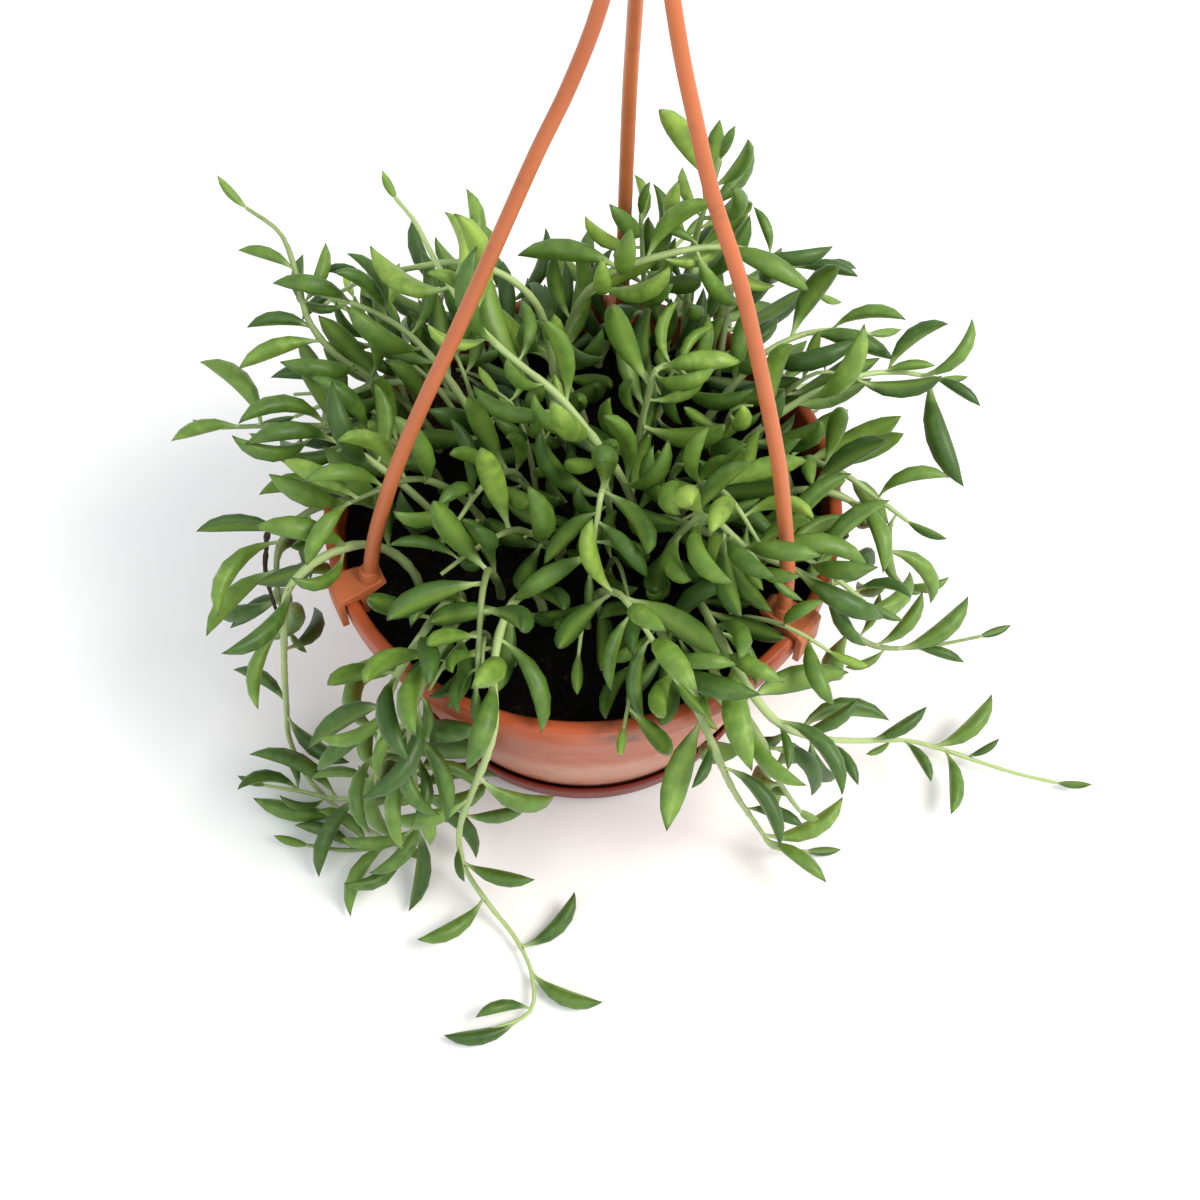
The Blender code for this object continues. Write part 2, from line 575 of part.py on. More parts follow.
def make_soil(collection, cutters, roots):
    """A plug of soil that fills the pot, with a plain hole for each stem."""
    bm = bmesh.new()
    edge_radius = inner_radius(SOIL_LEVEL - SOIL_UNEVENNESS) - CLEARANCE
    rings = [ring_of_points(bm, radius) for radius in (*SOIL_RINGS, edge_radius)]
    rings += [ring_of_points(bm, inner_radius(z) - CLEARANCE, z) for z in SOIL_WALL_LEVELS]
    rings.append(ring_of_points(bm, POT_FLOOR_RADIUS - CLEARANCE, POT_FLOOR_TOP + CLEARANCE))
    for upper, lower in zip(rings, rings[1:]):
        for i in range(SOIL_SIDES):
            j = (i + 1) % SOIL_SIDES
            bm.faces.new((upper[i], lower[i], lower[j], upper[j]))
    middle = bm.verts.new((0.0, 0.0, soil_height(0.0, 0.0) * MM))
    for i in range(SOIL_SIDES):
        bm.faces.new((middle, rings[0][i], rings[0][(i + 1) % SOIL_SIDES]))
    bm.faces.new(list(reversed(rings[-1])))
    mesh = bpy.data.meshes.new("soil")
    bm.to_mesh(mesh)
    bm.free()
    soil = link_mesh("soil", mesh, collection, new_material("soil"))
    bottoms = [(x, y, z - CLEARANCE) for x, y, z in roots]
    drill(soil, "stem_holes", bottoms, HOLE_RADIUS, 2.0 * ROOT_DEPTH, cutters)


# Hanger


def clip_outline():
    """Radius and height round the clip's side view, a saddle hooked over the pot's lip."""
    outer = RIM_RADIUS + CLEARANCE
    inner = RIM_RADIUS - LIP_WIDTH - 2.0 * CLEARANCE
    under = RIM_TOP + CLEARANCE
    top = under + CLIP_THICKNESS
    return [
        (outer + CLIP_THICKNESS, CLIP_OUTER_BOTTOM),
        (outer + CLIP_THICKNESS, top - CLIP_CHAMFER),
        (outer + CLIP_THICKNESS - CLIP_CHAMFER, top),
        (CLIP_INNER_REACH + CLIP_CHAMFER, top),
        (CLIP_INNER_REACH, top - CLIP_CHAMFER),
        (CLIP_INNER_REACH, under),
        (inner - CLIP_THICKNESS, under),
        (inner - CLIP_THICKNESS, CLIP_INNER_BOTTOM),
        (inner, CLIP_INNER_BOTTOM),
        (inner, under),
        (outer, under),
        (outer, CLIP_OUTER_BOTTOM),
    ]


def make_clip(azimuth, parts):
    """The clip at an arm's foot: its side view extruded to its width and stood on the rim."""
    outline = clip_outline()
    curve = bpy.data.curves.new("clip_outline", "CURVE")
    curve.dimensions = "2D"
    curve.fill_mode = "BOTH"
    curve.extrude = CLIP_WIDTH * 0.5 * MM
    spline = curve.splines.new("POLY")
    spline.points.add(len(outline) - 1)
    for point, (radius, height) in zip(spline.points, outline):
        point.co = (radius * MM, height * MM, 0.0, 1.0)
    spline.use_cyclic_u = True
    guide = bpy.data.objects.new("clip_guide", curve)
    bpy.context.scene.collection.objects.link(guide)
    mesh = mesh_as_shown(guide, "clip")
    bpy.data.objects.remove(guide, do_unlink=True)
    stand_up = Matrix.Rotation(math.radians(90.0), 4, "X")
    weld(mesh, Matrix.Rotation(math.radians(azimuth), 4, "Z") @ stand_up)
    link_mesh("clip", mesh, parts)


def upright_cylinder(name, centre, radius, height, sides, collection):
    """A closed upright cylinder, for the hub and the knobs at the arms' feet."""
    place = Matrix.Translation(Vector(centre) * MM)
    bm = bmesh.new()
    bmesh.ops.create_cone(
        bm, cap_ends=True, segments=sides, radius1=radius * MM, radius2=radius * MM,
        depth=height * MM, matrix=place,
    )
    mesh = bpy.data.meshes.new(name)
    bm.to_mesh(mesh)
    bm.free()
    return link_mesh(name, mesh, collection)


def hook_route():
    """The hook's centre line: up out of the hub, then round an open ring above it."""
    x, y, z = HUB_CENTRE
    neck_side, neck_rise = HOOK_NECK_TURN
    route = [(x, y, z), (x, y, z + HOOK_NECK_HEIGHT), (x + neck_side, y, z + neck_rise)]
    for degrees in np.linspace(HOOK_START_DEGREES, HOOK_END_DEGREES, HOOK_STEPS + 1):
        angle = math.radians(degrees)
        side = HOOK_RADIUS * math.cos(angle)
        route.append((x + side, y, z + HOOK_RISE + HOOK_RADIUS * math.sin(angle)))
    return route


def make_hanger(collection):
    """Three bowed arms with clips, joined at a hub under an open hook."""
    parts = new_collection("hanger_parts")
    hub = upright_cylinder("hanger", HUB_CENTRE, HUB_RADIUS, HUB_HEIGHT, HUB_SIDES, collection)
    hub.data.materials.append(new_material("hanger"))
    knob_level = RIM_TOP + 2.0 * CLEARANCE + KNOB_HEIGHT * 0.5
    for azimuth, route in ARMS:
        points = smooth_route(route, ARM_POINTS)
        radii = np.linspace(ARM_FOOT_RADIUS, ARM_TOP_RADIUS, ARM_POINTS)
        tube("arm", points, radii, parts, ARM_ROUNDNESS)
        make_clip(azimuth, parts)
        knob_centre = (route[0][0], route[0][1], knob_level)
        upright_cylinder("knob", knob_centre, KNOB_RADIUS, KNOB_HEIGHT, KNOB_SIDES, parts)
    hook = hook_route()
    tube("hook", hook, [HOOK_WIRE_RADIUS] * len(hook), parts, ARM_ROUNDNESS)
    join_all(hub, parts)
    hub.data.shade_smooth()
    hub.data.set_sharp_from_angle(angle=math.radians(SHARP_DEGREES))


# Where stems and leaves may not go


def wall_gap(points):
    """Gap from each point to the pot and saucer, and the way off them as (radius, height)."""
    radius = np.hypot(points[:, 0], points[:, 1])
    flat = np.column_stack([radius, points[:, 2]])
    best = np.full(len(points), np.inf)
    away = np.zeros((len(points), 2))
    for start, end, half in POT_SECTION:
        low = np.array(start)
        along = np.array(end) - low
        share = np.clip(((flat - low) @ along) / (along @ along), 0.0, 1.0)
        offset = flat - (low + share[:, None] * along)
        distance = np.linalg.norm(offset, axis=1)
        nearer = distance - half < best
        best = np.where(nearer, distance - half, best)
        away[nearer] = offset[nearer] / distance[nearer][:, None]
    return best, away, radius


def soil_tops(points):
    """Soil height under each point, or far below it where the point is outside the pot."""
    x, y, z = points.T
    inside = (np.hypot(x, y) < INSIDE_RADIUS) & (z > INSIDE_LEVEL)
    return np.where(inside, soil_height(x, y), NOWHERE)


def hanger_balls():
    """Balls that fill the hanger's arms and clips, as centres and radii."""
    centres = []
    radii = []
    for azimuth, route in ARMS:
        centres.extend(smooth_route(route, ARM_GUARD_POINTS))
        radii.extend([ARM_GUARD_RADIUS] * ARM_GUARD_POINTS)
        angle = math.radians(azimuth)
        for reach in CLIP_GUARD_REACHES:
            levels = CLIP_GUARD_LEVELS if reach > CLIP_GUARD_LEG_REACH else CLIP_GUARD_LEVELS[:1]
            for side in CLIP_GUARD_SIDES:
                x = reach * math.cos(angle) - side * math.sin(angle)
                y = reach * math.sin(angle) + side * math.cos(angle)
                centres.extend((x, y, level) for level in levels)
                radii.extend([CLIP_GUARD_RADIUS] * len(levels))
    return np.array(centres), np.array(radii)


# Stem routes


def bush_routes():
    """Short arching stems, rooted on a spiral and leaning away from the plant's middle."""
    draw = np.random.default_rng(BUSH_SEED)
    routes = []
    for k in range(BUSH_PLACES):
        share = math.sqrt((k + 0.5) / BUSH_PLACES)
        angle = k * GOLDEN_ANGLE
        x = BUSH_CENTRE[0] + BUSH_RADIUS * share * math.cos(angle)
        y = BUSH_CENTRE[1] + BUSH_RADIUS * share * math.sin(angle)
        if any(math.dist((x, y), route[0][:2]) < ROOTS_APART for route in TRAILING_ROUTES):
            continue
        lean = angle + draw.uniform(-BUSH_LEAN_CHANGE, BUSH_LEAN_CHANGE)
        height = draw.uniform(*BUSH_HEIGHT) - BUSH_EDGE_LOSS * share
        height *= BUSH_BACK_SHARE if y > BUSH_BACK_START else 1.0
        reach = BUSH_REACH + draw.uniform(*BUSH_EDGE_REACH) * share
        drop = height * draw.uniform(*BUSH_DROP)
        route = []
        for t in BUSH_SHARES:
            out = reach * t ** BUSH_OUTWARD_POWER
            rise = height * math.sin(min(t / BUSH_PEAK, 1.0) * math.pi * 0.5)
            fall = drop * max(0.0, (t - BUSH_TURN) / (1.0 - BUSH_TURN))
            place = (x + out * math.cos(lean), y + out * math.sin(lean), SOIL_LEVEL + rise - fall)
            route.append(place)
        routes.append(tuple(route))
    return routes


def stem_points():
    """Every stem's points, a step apart, with a straight foot that stands in its hole."""
    stems = []
    for route in (*TRAILING_ROUTES, *bush_routes()):
        x, y, _ = route[0]
        ground = soil_height(x, y)
        free = [(x, y, ground + COLLAR_HEIGHT), *route[1:]]
        length = sum(math.dist(a, b) for a, b in zip(free, free[1:]))
        count = max(FEWEST_STEM_POINTS, round(length / STEM_STEP) + 1)
        foot = np.array([[x, y, ground - ROOT_DEPTH]])
        stems.append(np.vstack([foot, smooth_route(free, count)]))
    return stems


def dense_weights(stems, first):
    """How test points between each stem's points are read from them, and whose each one is."""
    rows = []
    owners = []
    for index, stem in enumerate(stems):
        for segment in range(1, len(stem) - 1):
            low = first[index] + segment
            rows.extend((low, low + 1, share) for share in SEGMENT_SHARES)
            owners.extend([index] * len(SEGMENT_SHARES))
        rows.append((first[index + 1] - 2, first[index + 1] - 1, 1.0))
        owners.append(index)
    spread = np.zeros((len(rows), first[-1]))
    for row, (low, high, share) in enumerate(rows):
        spread[row, low] = 1.0 - share
        spread[row, high] = share
    return spread, np.array(owners)


def settle_stems(stems):
    """Push stems apart and off the pot, soil, surface and hanger, keeping their curves smooth."""
    first = np.cumsum([0] + [len(stem) for stem in stems])
    start = np.vstack(stems)
    spread, owners = dense_weights(stems, first)
    gather = spread.T / np.maximum(spread.sum(axis=0), SMALLEST_BALL)[:, None]
    fixed = np.zeros(len(start), dtype=bool)
    for low in first[:-1]:
        fixed[low:low + 2] = True
    guards = hanger_balls()
    points = start.copy()
    for round_number in range(SETTLE_ROUNDS):
        dense = spread @ points
        push = crossing_push(dense, owners) + obstacle_push(dense, *guards)
        points = points + SETTLE_RATE * (gather @ push)
        points[fixed] = start[fixed]
        if round_number < SETTLE_ROUNDS - UNEASED_ROUNDS:
            points = ease_moves(points, start, first, fixed)
    return [points[low:high] for low, high in zip(first, first[1:])]


def crossing_push(dense, owners):
    """Moves that take stems apart where two of them come too close."""
    squares = (dense ** 2).sum(axis=1)
    gaps = squares[:, None] + squares[None, :] - 2.0 * dense @ dense.T
    close = (gaps < STEM_APART ** 2) & (owners[:, None] < owners[None, :])
    a, b = np.nonzero(close)
    offset = dense[a] - dense[b]
    distance = np.linalg.norm(offset, axis=1)
    step = 0.5 * (STEM_APART / distance - 1.0)[:, None] * offset
    push = np.zeros_like(dense)
    np.add.at(push, a, step)
    np.add.at(push, b, -step)
    return push


def obstacle_push(dense, guard_centres, guard_radii):
    """Moves that take stems off the pot, the soil, the surface and the hanger."""
    push = np.zeros_like(dense)
    gap, away, radius = wall_gap(dense)
    short = np.maximum(STEM_GUARD - gap, 0.0)
    outward = dense[:, :2] / radius[:, None]
    push[:, :2] += outward * (short * away[:, 0])[:, None]
    push[:, 2] += short * away[:, 1]
    push[:, 2] += np.maximum(FLOOR_GUARD - dense[:, 2], 0.0)
    push[:, 2] += np.maximum(STEM_GUARD + soil_tops(dense) - dense[:, 2], 0.0)
    offset = dense[:, None, :] - guard_centres[None, :, :]
    distance = np.linalg.norm(offset, axis=2)
    needed = np.maximum(guard_radii[None, :] + STEM_GUARD - distance, 0.0)
    each = np.arange(len(dense))
    nearest = needed.argmax(axis=1)
    strength = needed[each, nearest] / distance[each, nearest]
    return push + strength[:, None] * offset[each, nearest]


def ease_moves(points, start, first, fixed):
    """Share each point's move with its neighbours, so that a stem bends and doesn't kink."""
    shift = points - start
    eased = shift.copy()
    for low, high in zip(first, first[1:]):
        inner = slice(low + 1, high - 1)
        neighbours = shift[low:high - 2] + shift[low + 2:high]
        eased[inner] = 0.5 * shift[inner] + 0.25 * neighbours
    eased[fixed] = 0.0
    return start + eased


# Leaves


class Leaf:
    """A banana-shaped leaf: an arc from its root on the stem, with a width and a depth."""

    def __init__(self, root, along, bend_to, length, width, depth, bend):
        self.root = np.array(root)
        self.along = unit(along)
        self.bend_to = unit(bend_to - self.along * float(bend_to @ self.along))
        self.across = np.cross(self.along, self.bend_to)
        self.length = length
        self.width = width
        self.depth = depth
        self.bend = bend

    def centres(self, shares):
        """Points of the midrib at shares of the leaf's length."""
        turns = self.bend * np.asarray(shares)
        reach = self.length / self.bend
        forward = np.sin(turns) * reach
        sideways = (1.0 - np.cos(turns)) * reach
        return self.root + forward[:, None] * self.along + sideways[:, None] * self.bend_to

    def ups(self, shares):
        """Directions across the leaf's depth at shares of its length."""
        turns = self.bend * np.asarray(shares)
        return np.cos(turns)[:, None] * self.bend_to - np.sin(turns)[:, None] * self.along

    def balls(self):
        """Balls that fill the leaf, as centres and radii."""
        shares, widths = zip(*LEAF_STATIONS)
        half = 0.5 * self.width * SECTION_OVERSIZE
        radii = np.interp(BALL_SHARES, shares, widths) * half
        return self.centres(BALL_SHARES), np.maximum(radii, SMALLEST_BALL)

    def lowest(self):
        """Height of the leaf's lowest point."""
        centres, radii = self.balls()
        flatness = self.depth / self.width
        reach = np.hypot(self.across[2], flatness * self.ups(BALL_SHARES)[:, 2])
        return float((centres[:, 2] - radii * reach).min())


class Crowd:
    """What already takes up room: balls of the hanger, the stems and the leaves set so far."""

    def __init__(self, stems):
        self.centres, self.radii = hanger_balls()
        self.owners = np.full(len(self.radii), HANGER_OWNER)
        for index, stem in enumerate(stems):
            steps = np.diff(stem, axis=0)
            dense = np.vstack([stem[:-1] + steps * share for share in STEM_BALL_SHARES])
            self.add(dense, np.full(len(dense), STEM_BALL_RADIUS), STEM_OWNER + index)

    def add(self, centres, radii, owner):
        """Take up room for more balls."""
        self.centres = np.vstack([self.centres, centres])
        self.radii = np.concatenate([self.radii, radii])
        self.owners = np.concatenate([self.owners, np.full(len(radii), owner)])

    def has_room(self, index, leaf):
        """Whether a leaf stays clear of all but the roots of its own stem's leaves."""
        centres, radii = leaf.balls()
        if leaf.lowest() < CLEARANCE:
            return False
        if (centres[:, 2] - radii - soil_tops(centres) < LEAF_GAP).any():
            return False
        gap, _, _ = wall_gap(centres)
        if (gap - radii < LEAF_GAP).any():
            return False
        near = np.linalg.norm(self.centres - centres.mean(axis=0), axis=1) < leaf.length
        owners = self.owners[near]
        offset = np.linalg.norm(centres[:, None, :] - self.centres[near][None, :, :], axis=2)
        free = offset - radii[:, None] - self.radii[near][None, :] - LEAF_GAP
        free[:OWN_STEM_BALLS, owners == STEM_OWNER + index] = 1.0
        free[:ROOT_BALLS, owners == index] = 1.0
        return bool((free > 0.0).all())


def frame_at(stem, distance):
    """Place and direction on a stem at a distance from the top of its straight foot."""
    path = stem[1:]
    travelled = distances_along(path)
    index = int(np.clip(np.searchsorted(travelled, distance) - 1, 0, len(path) - 2))
    share = (distance - travelled[index]) / (travelled[index + 1] - travelled[index])
    place = path[index] + (path[index + 1] - path[index]) * share
    before = path[max(index - 1, 0)]
    after = path[min(index + 2, len(path) - 1)]
    return place, unit(after - before)


def leaf_on(stem, distance, turn, length, opening, bend, curl):
    """A leaf that leaves its stem at a distance and a turn round it, and curls to a side."""
    place, tangent = frame_at(stem, distance)
    side = unit(np.cross(tangent, SKEW_UP))
    other = np.cross(tangent, side)
    outward = side * math.cos(turn) + other * math.sin(turn)
    along = tangent * math.cos(opening) + outward * math.sin(opening)
    wish = CURL_ALONG * tangent + CURL_SIDE * curl * np.cross(tangent, outward)
    wish[2] += CURL_UP
    return Leaf(place, along, wish, length, length * LEAF_WIDTH_RATIO, length * LEAF_DEPTH_RATIO, bend)


def leaf_at_tip(stem, draw):
    """The young leaf that carries on a stem's end."""
    tangent = unit(stem[-1] - stem[-2])
    length = draw.uniform(*TIP_LEAF_LENGTH)
    root = stem[-1] - tangent * TIP_LEAF_OVERLAP
    width = length * TIP_LEAF_WIDTH_RATIO
    depth = length * TIP_LEAF_DEPTH_RATIO
    wish = np.array(SKEW_UP)
    return Leaf(root, tangent, wish, length, width, depth, math.radians(TIP_LEAF_BEND_DEGREES))


def placed_leaf(stem, start, end, bend_to, bend):
    """A leaf between two places, with its root moved onto its stem."""
    path = smooth_route(stem[1:], CURVE_STEPS * len(stem))
    root = path[np.linalg.norm(path - np.array(start), axis=1).argmin()]
    reach = np.linalg.norm(np.array(end) - root)
    straight = (np.array(end) - root) / reach
    side = unit(bend_to - straight * float(np.dot(bend_to, straight)))
    along = straight * math.cos(0.5 * bend) - side * math.sin(0.5 * bend)
    length = reach * 0.5 * bend / math.sin(0.5 * bend)
    return Leaf(root, along, side, length, length * LEAF_WIDTH_RATIO, length * LEAF_DEPTH_RATIO, bend)


def placed_leaves(crowd, stems):
    """The leaves set by hand, stem by stem, each lifted or lowered until it has room."""
    found = [[] for _ in stems]
    for index, start, end, bend_to, degrees in PLACED_LEAVES:
        for lift in LIFT_TRIES:
            tip = (end[0], end[1], end[2] + lift)
            leaf = placed_leaf(stems[index], start, tip, np.array(bend_to), math.radians(degrees))
            if crowd.has_room(index, leaf):
                found[index].append(leaf)
                crowd.add(*leaf.balls(), index)
                break
    return found


def first_that_fits(crowd, index, stem, distance, turn, length, opening, bend, curl):
    """The first of several like leaves that has room, or nothing."""
    for size in SIZE_TRIES:
        for change in TURN_TRIES:
            leaf = leaf_on(stem, distance, turn + change, length * size, opening, bend, curl)
            if crowd.has_room(index, leaf):
                return leaf
    return None


def leaves_of_stem(crowd, index, stem, placed):
    """The leaves set by hand, then others in a spiral, each turned or shortened until it has room."""
    draw = np.random.default_rng(LEAF_SEED + index)
    trailing = index < len(TRAILING_ROUTES)
    spacing = TRAILING_LEAF_SPACING if trailing else BUSH_LEAF_SPACING
    openings = LEAF_OPENING_DEGREES if trailing else BUSH_OPENING_DEGREES
    spacing = ARCH_LEAF_SPACING if index in ARCHES else spacing
    end = distances_along(stem[1:])[-1]
    last = min(end - LAST_LEAF_FROM_TIP, end * SPIRAL_SHARES.get(index, 1.0))
    leaves = list(placed)
    tip = leaf_at_tip(stem, draw)
    if crowd.has_room(index, tip):
        leaves.append(tip)
        crowd.add(*tip.balls(), index)
    turn = draw.uniform(0.0, FULL_TURN)
    distance = draw.uniform(*FIRST_LEAF_HEIGHT)
    while distance < last:
        turn += GOLDEN_ANGLE + draw.uniform(-TURN_CHANGE, TURN_CHANGE)
        opening = math.radians(draw.uniform(*openings))
        bend = math.radians(draw.uniform(*LEAF_BEND_DEGREES))
        curl = draw.uniform(-1.0, 1.0)
        youth = max(0.0, 1.0 - (end - distance) / YOUNG_STRETCH)
        length = draw.uniform(*LEAF_LENGTH) * (1.0 - YOUNG_LOSS * youth)
        leaf = first_that_fits(crowd, index, stem, distance, turn, length, opening, bend, curl)
        if leaf:
            leaves.append(leaf)
            crowd.add(*leaf.balls(), index)
        distance += spacing * draw.uniform(*SPACING_CHANGE)
    return leaves


def leaf_mesh(leaf, name):
    """The leaf's closed body: a loft of three-sided sections between its root and its point."""
    shares, widths = zip(*LEAF_STATIONS)
    bm = bmesh.new()
    rings = []
    for centre, up, width_share in zip(leaf.centres(shares), leaf.ups(shares), widths):
        if width_share == 0.0:
            rings.append([bm.verts.new(Vector(centre) * MM)] * LEAF_SIDES)
            continue
        half = 0.5 * width_share * SECTION_OVERSIZE
        ring = []
        for i in range(LEAF_SIDES):
            angle = FULL_TURN * (i / LEAF_SIDES - 0.25)
            sideways = leaf.across * leaf.width * half * math.cos(angle)
            upward = up * leaf.depth * half * math.sin(angle)
            ring.append(bm.verts.new(Vector(centre + sideways + upward) * MM))
        rings.append(ring)
    for lower, upper in zip(rings, rings[1:]):
        for i in range(LEAF_SIDES):
            j = (i + 1) % LEAF_SIDES
            corners = dict.fromkeys((lower[i], upper[i], upper[j], lower[j]))
            bm.faces.new(list(corners))
    bmesh.ops.triangulate(bm, faces=bm.faces)
    bmesh.ops.recalc_face_normals(bm, faces=bm.faces)
    mesh = bpy.data.meshes.new(name)
    bm.to_mesh(mesh)
    bm.free()
    return mesh


def make_stem(name, stem, leaves, collection, material):
    """One leafy stem: a thin tapering tube with its leaves fused to it."""
    radii = np.linspace(STEM_FOOT_RADIUS, STEM_TIP_RADIUS, len(stem))
    item = tube(name, stem, radii, collection, STEM_ROUNDNESS)
    item.data.materials.append(material)
    parts = new_collection(name + "_leaves")
    for leaf in leaves:
        link_mesh("leaf", leaf_mesh(leaf, "leaf"), parts)
    join_all(item, parts)


def make_plant(collection):
    """All leafy stems; returns the bottoms of their feet for the soil's holes."""
    stems = settle_stems(stem_points())
    crowd = Crowd(stems)
    placed = placed_leaves(crowd, stems)
    material = new_material("leafy_stem")
    for index, stem in enumerate(stems):
        leaves = leaves_of_stem(crowd, index, stem, placed[index])
        make_stem("leafy_stem_%02d" % (index + 1), stem, leaves, collection, material)
    return [tuple(stem[0]) for stem in stems]


def main():
    """Build the whole object."""
    clear_scene()
    collection = new_collection(COLLECTION_NAME)
    cutters = new_collection("cutters")
    make_hanger(collection)
    roots = make_plant(collection)
    make_soil(collection, cutters, roots)
    make_pot(collection, cutters)
    make_saucer(collection)


main()
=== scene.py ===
"""Potted string of bananas: the fine model and its studio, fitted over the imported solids.

Sizes and places are in millimetres, as in the solids' own source, and MM turns them into metres.
"""

import json
import math

import bpy
import numpy as np
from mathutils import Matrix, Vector

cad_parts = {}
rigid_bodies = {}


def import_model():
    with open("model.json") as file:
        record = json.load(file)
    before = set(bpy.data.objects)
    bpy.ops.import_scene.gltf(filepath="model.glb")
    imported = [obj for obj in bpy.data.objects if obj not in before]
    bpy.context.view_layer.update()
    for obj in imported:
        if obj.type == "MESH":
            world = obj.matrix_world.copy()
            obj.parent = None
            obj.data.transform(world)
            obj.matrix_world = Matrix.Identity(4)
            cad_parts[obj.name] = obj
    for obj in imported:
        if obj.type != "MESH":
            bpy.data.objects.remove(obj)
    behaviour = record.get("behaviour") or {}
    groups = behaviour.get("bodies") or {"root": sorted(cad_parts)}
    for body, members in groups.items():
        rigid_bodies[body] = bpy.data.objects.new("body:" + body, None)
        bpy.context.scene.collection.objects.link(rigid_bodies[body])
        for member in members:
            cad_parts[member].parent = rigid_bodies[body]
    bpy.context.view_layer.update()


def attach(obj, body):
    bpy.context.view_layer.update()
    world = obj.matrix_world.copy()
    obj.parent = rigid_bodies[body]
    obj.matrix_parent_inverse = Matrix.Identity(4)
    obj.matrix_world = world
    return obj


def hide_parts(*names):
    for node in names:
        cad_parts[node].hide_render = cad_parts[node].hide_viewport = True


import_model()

MM = 0.001
CLEARANCE = 0.3
FULL_TURN = 2.0 * math.pi
MERGE_DISTANCE = 1e-5

# Pot, saucer and soil
RIM_RADIUS = 78.0
RIM_TOP = 95.0
LIP_HEIGHT = 11.0
LIP_WIDTH = 4.0
LIP_ROUNDING = 1.5
WALL = 1.6
POT_FLOOR_TOP = 4.4
POT_FLOOR_RADIUS = 51.0
POT_BOTTOM = 2.1
POT_FOOT_RADIUS = 51.0
# Radius and height down the outside of the pot's wall, from under the lip to the foot
POT_OUTLINE = ((75.8, 84.0), (72.6, 70.0), (67.2, 45.0), (61.8, 22.0), (57.6, 6.5))
DRAIN_HOLE_RADIUS = 2.8
DRAIN_HOLE_RING = 30.0
DRAIN_HOLE_COUNT = 4
SAUCER_RIM_RADIUS = 61.5
SAUCER_HEIGHT = 12.0
SAUCER_WALL = 1.5
SAUCER_FLOOR_RADIUS = 58.5
SAUCER_ROUNDING = 0.8
SOIL_LEVEL = 82.0
SOIL_UNEVENNESS = 3.0
# Waves of the soil's top: height, step and start along x, then step and start along y
SOIL_SWELL = (1.3, 0.11, 0.6, 0.13)
SOIL_LUMPS = (0.8, 0.37, 1.1, 0.31, 0.4)
SOIL_WALL_LEVELS = (40.0, 8.0)

# Hanger
HUB_CENTRE = (13.0, 0.0, 312.0)
HUB_RADIUS = 7.5
HUB_HEIGHT = 8.0
ARM_FOOT_RADIUS = 2.2
ARM_TOP_RADIUS = 1.65
HOOK_WIRE_RADIUS = 2.2
HOOK_RADIUS = 12.0
HOOK_RISE = 25.0
HOOK_NECK_HEIGHT = 6.0
HOOK_NECK_TURN = (2.6, 11.5)
HOOK_START_DEGREES = -42.0
HOOK_END_DEGREES = 212.0
HOOK_STEPS = 11
CLIP_WIDTH = 11.0
CLIP_THICKNESS = 2.1
CLIP_INNER_REACH = 64.5
CLIP_OUTER_BOTTOM = 84.0
CLIP_INNER_BOTTOM = 87.0
CLIP_CHAMFER = 1.4
KNOB_RADIUS = 3.7
KNOB_HEIGHT = 5.5

# Each arm has its clip at an azimuth in degrees, and a route from the clip up to the hub
ARMS = (
    (205.0, ((-62.0, -28.9, 97.0), (-58.3, -27.4, 116.0), (-52.6, -25.2, 136.0), (-46.5, -22.9, 154.0),
             (-39.0, -20.0, 173.0), (-31.2, -17.0, 191.5), (-20.4, -12.9, 218.0), (-9.1, -8.5, 246.0),
             (-1.2, -5.5, 264.0), (5.5, -2.9, 284.0), (10.5, -0.5, 311.0))),
    (325.0, ((58.0, -40.6, 97.0), (56.8, -39.8, 120.0), (53.3, -37.3, 147.0), (49.0, -34.0, 172.0),
             (37.8, -26.0, 220.0), (29.5, -20.5, 246.0), (25.0, -17.0, 264.0), (20.5, -13.0, 284.0),
             (15.5, -2.5, 311.0))),
    (80.0, ((12.2, 69.2, 97.0), (12.2, 67.0, 120.0), (12.2, 60.0, 150.0), (12.3, 50.0, 185.0),
            (12.4, 38.0, 220.0), (12.8, 26.0, 252.0), (13.2, 13.5, 285.0), (13.3, 2.5, 311.0))),
)

# Stems
STEM_FOOT_RADIUS = 1.4
STEM_TIP_RADIUS = 0.95
STEM_STEP = 13.0
ROOT_DEPTH = 9.0
COLLAR_HEIGHT = 4.0
FEWEST_STEM_POINTS = 4
CURVE_STEPS = 16

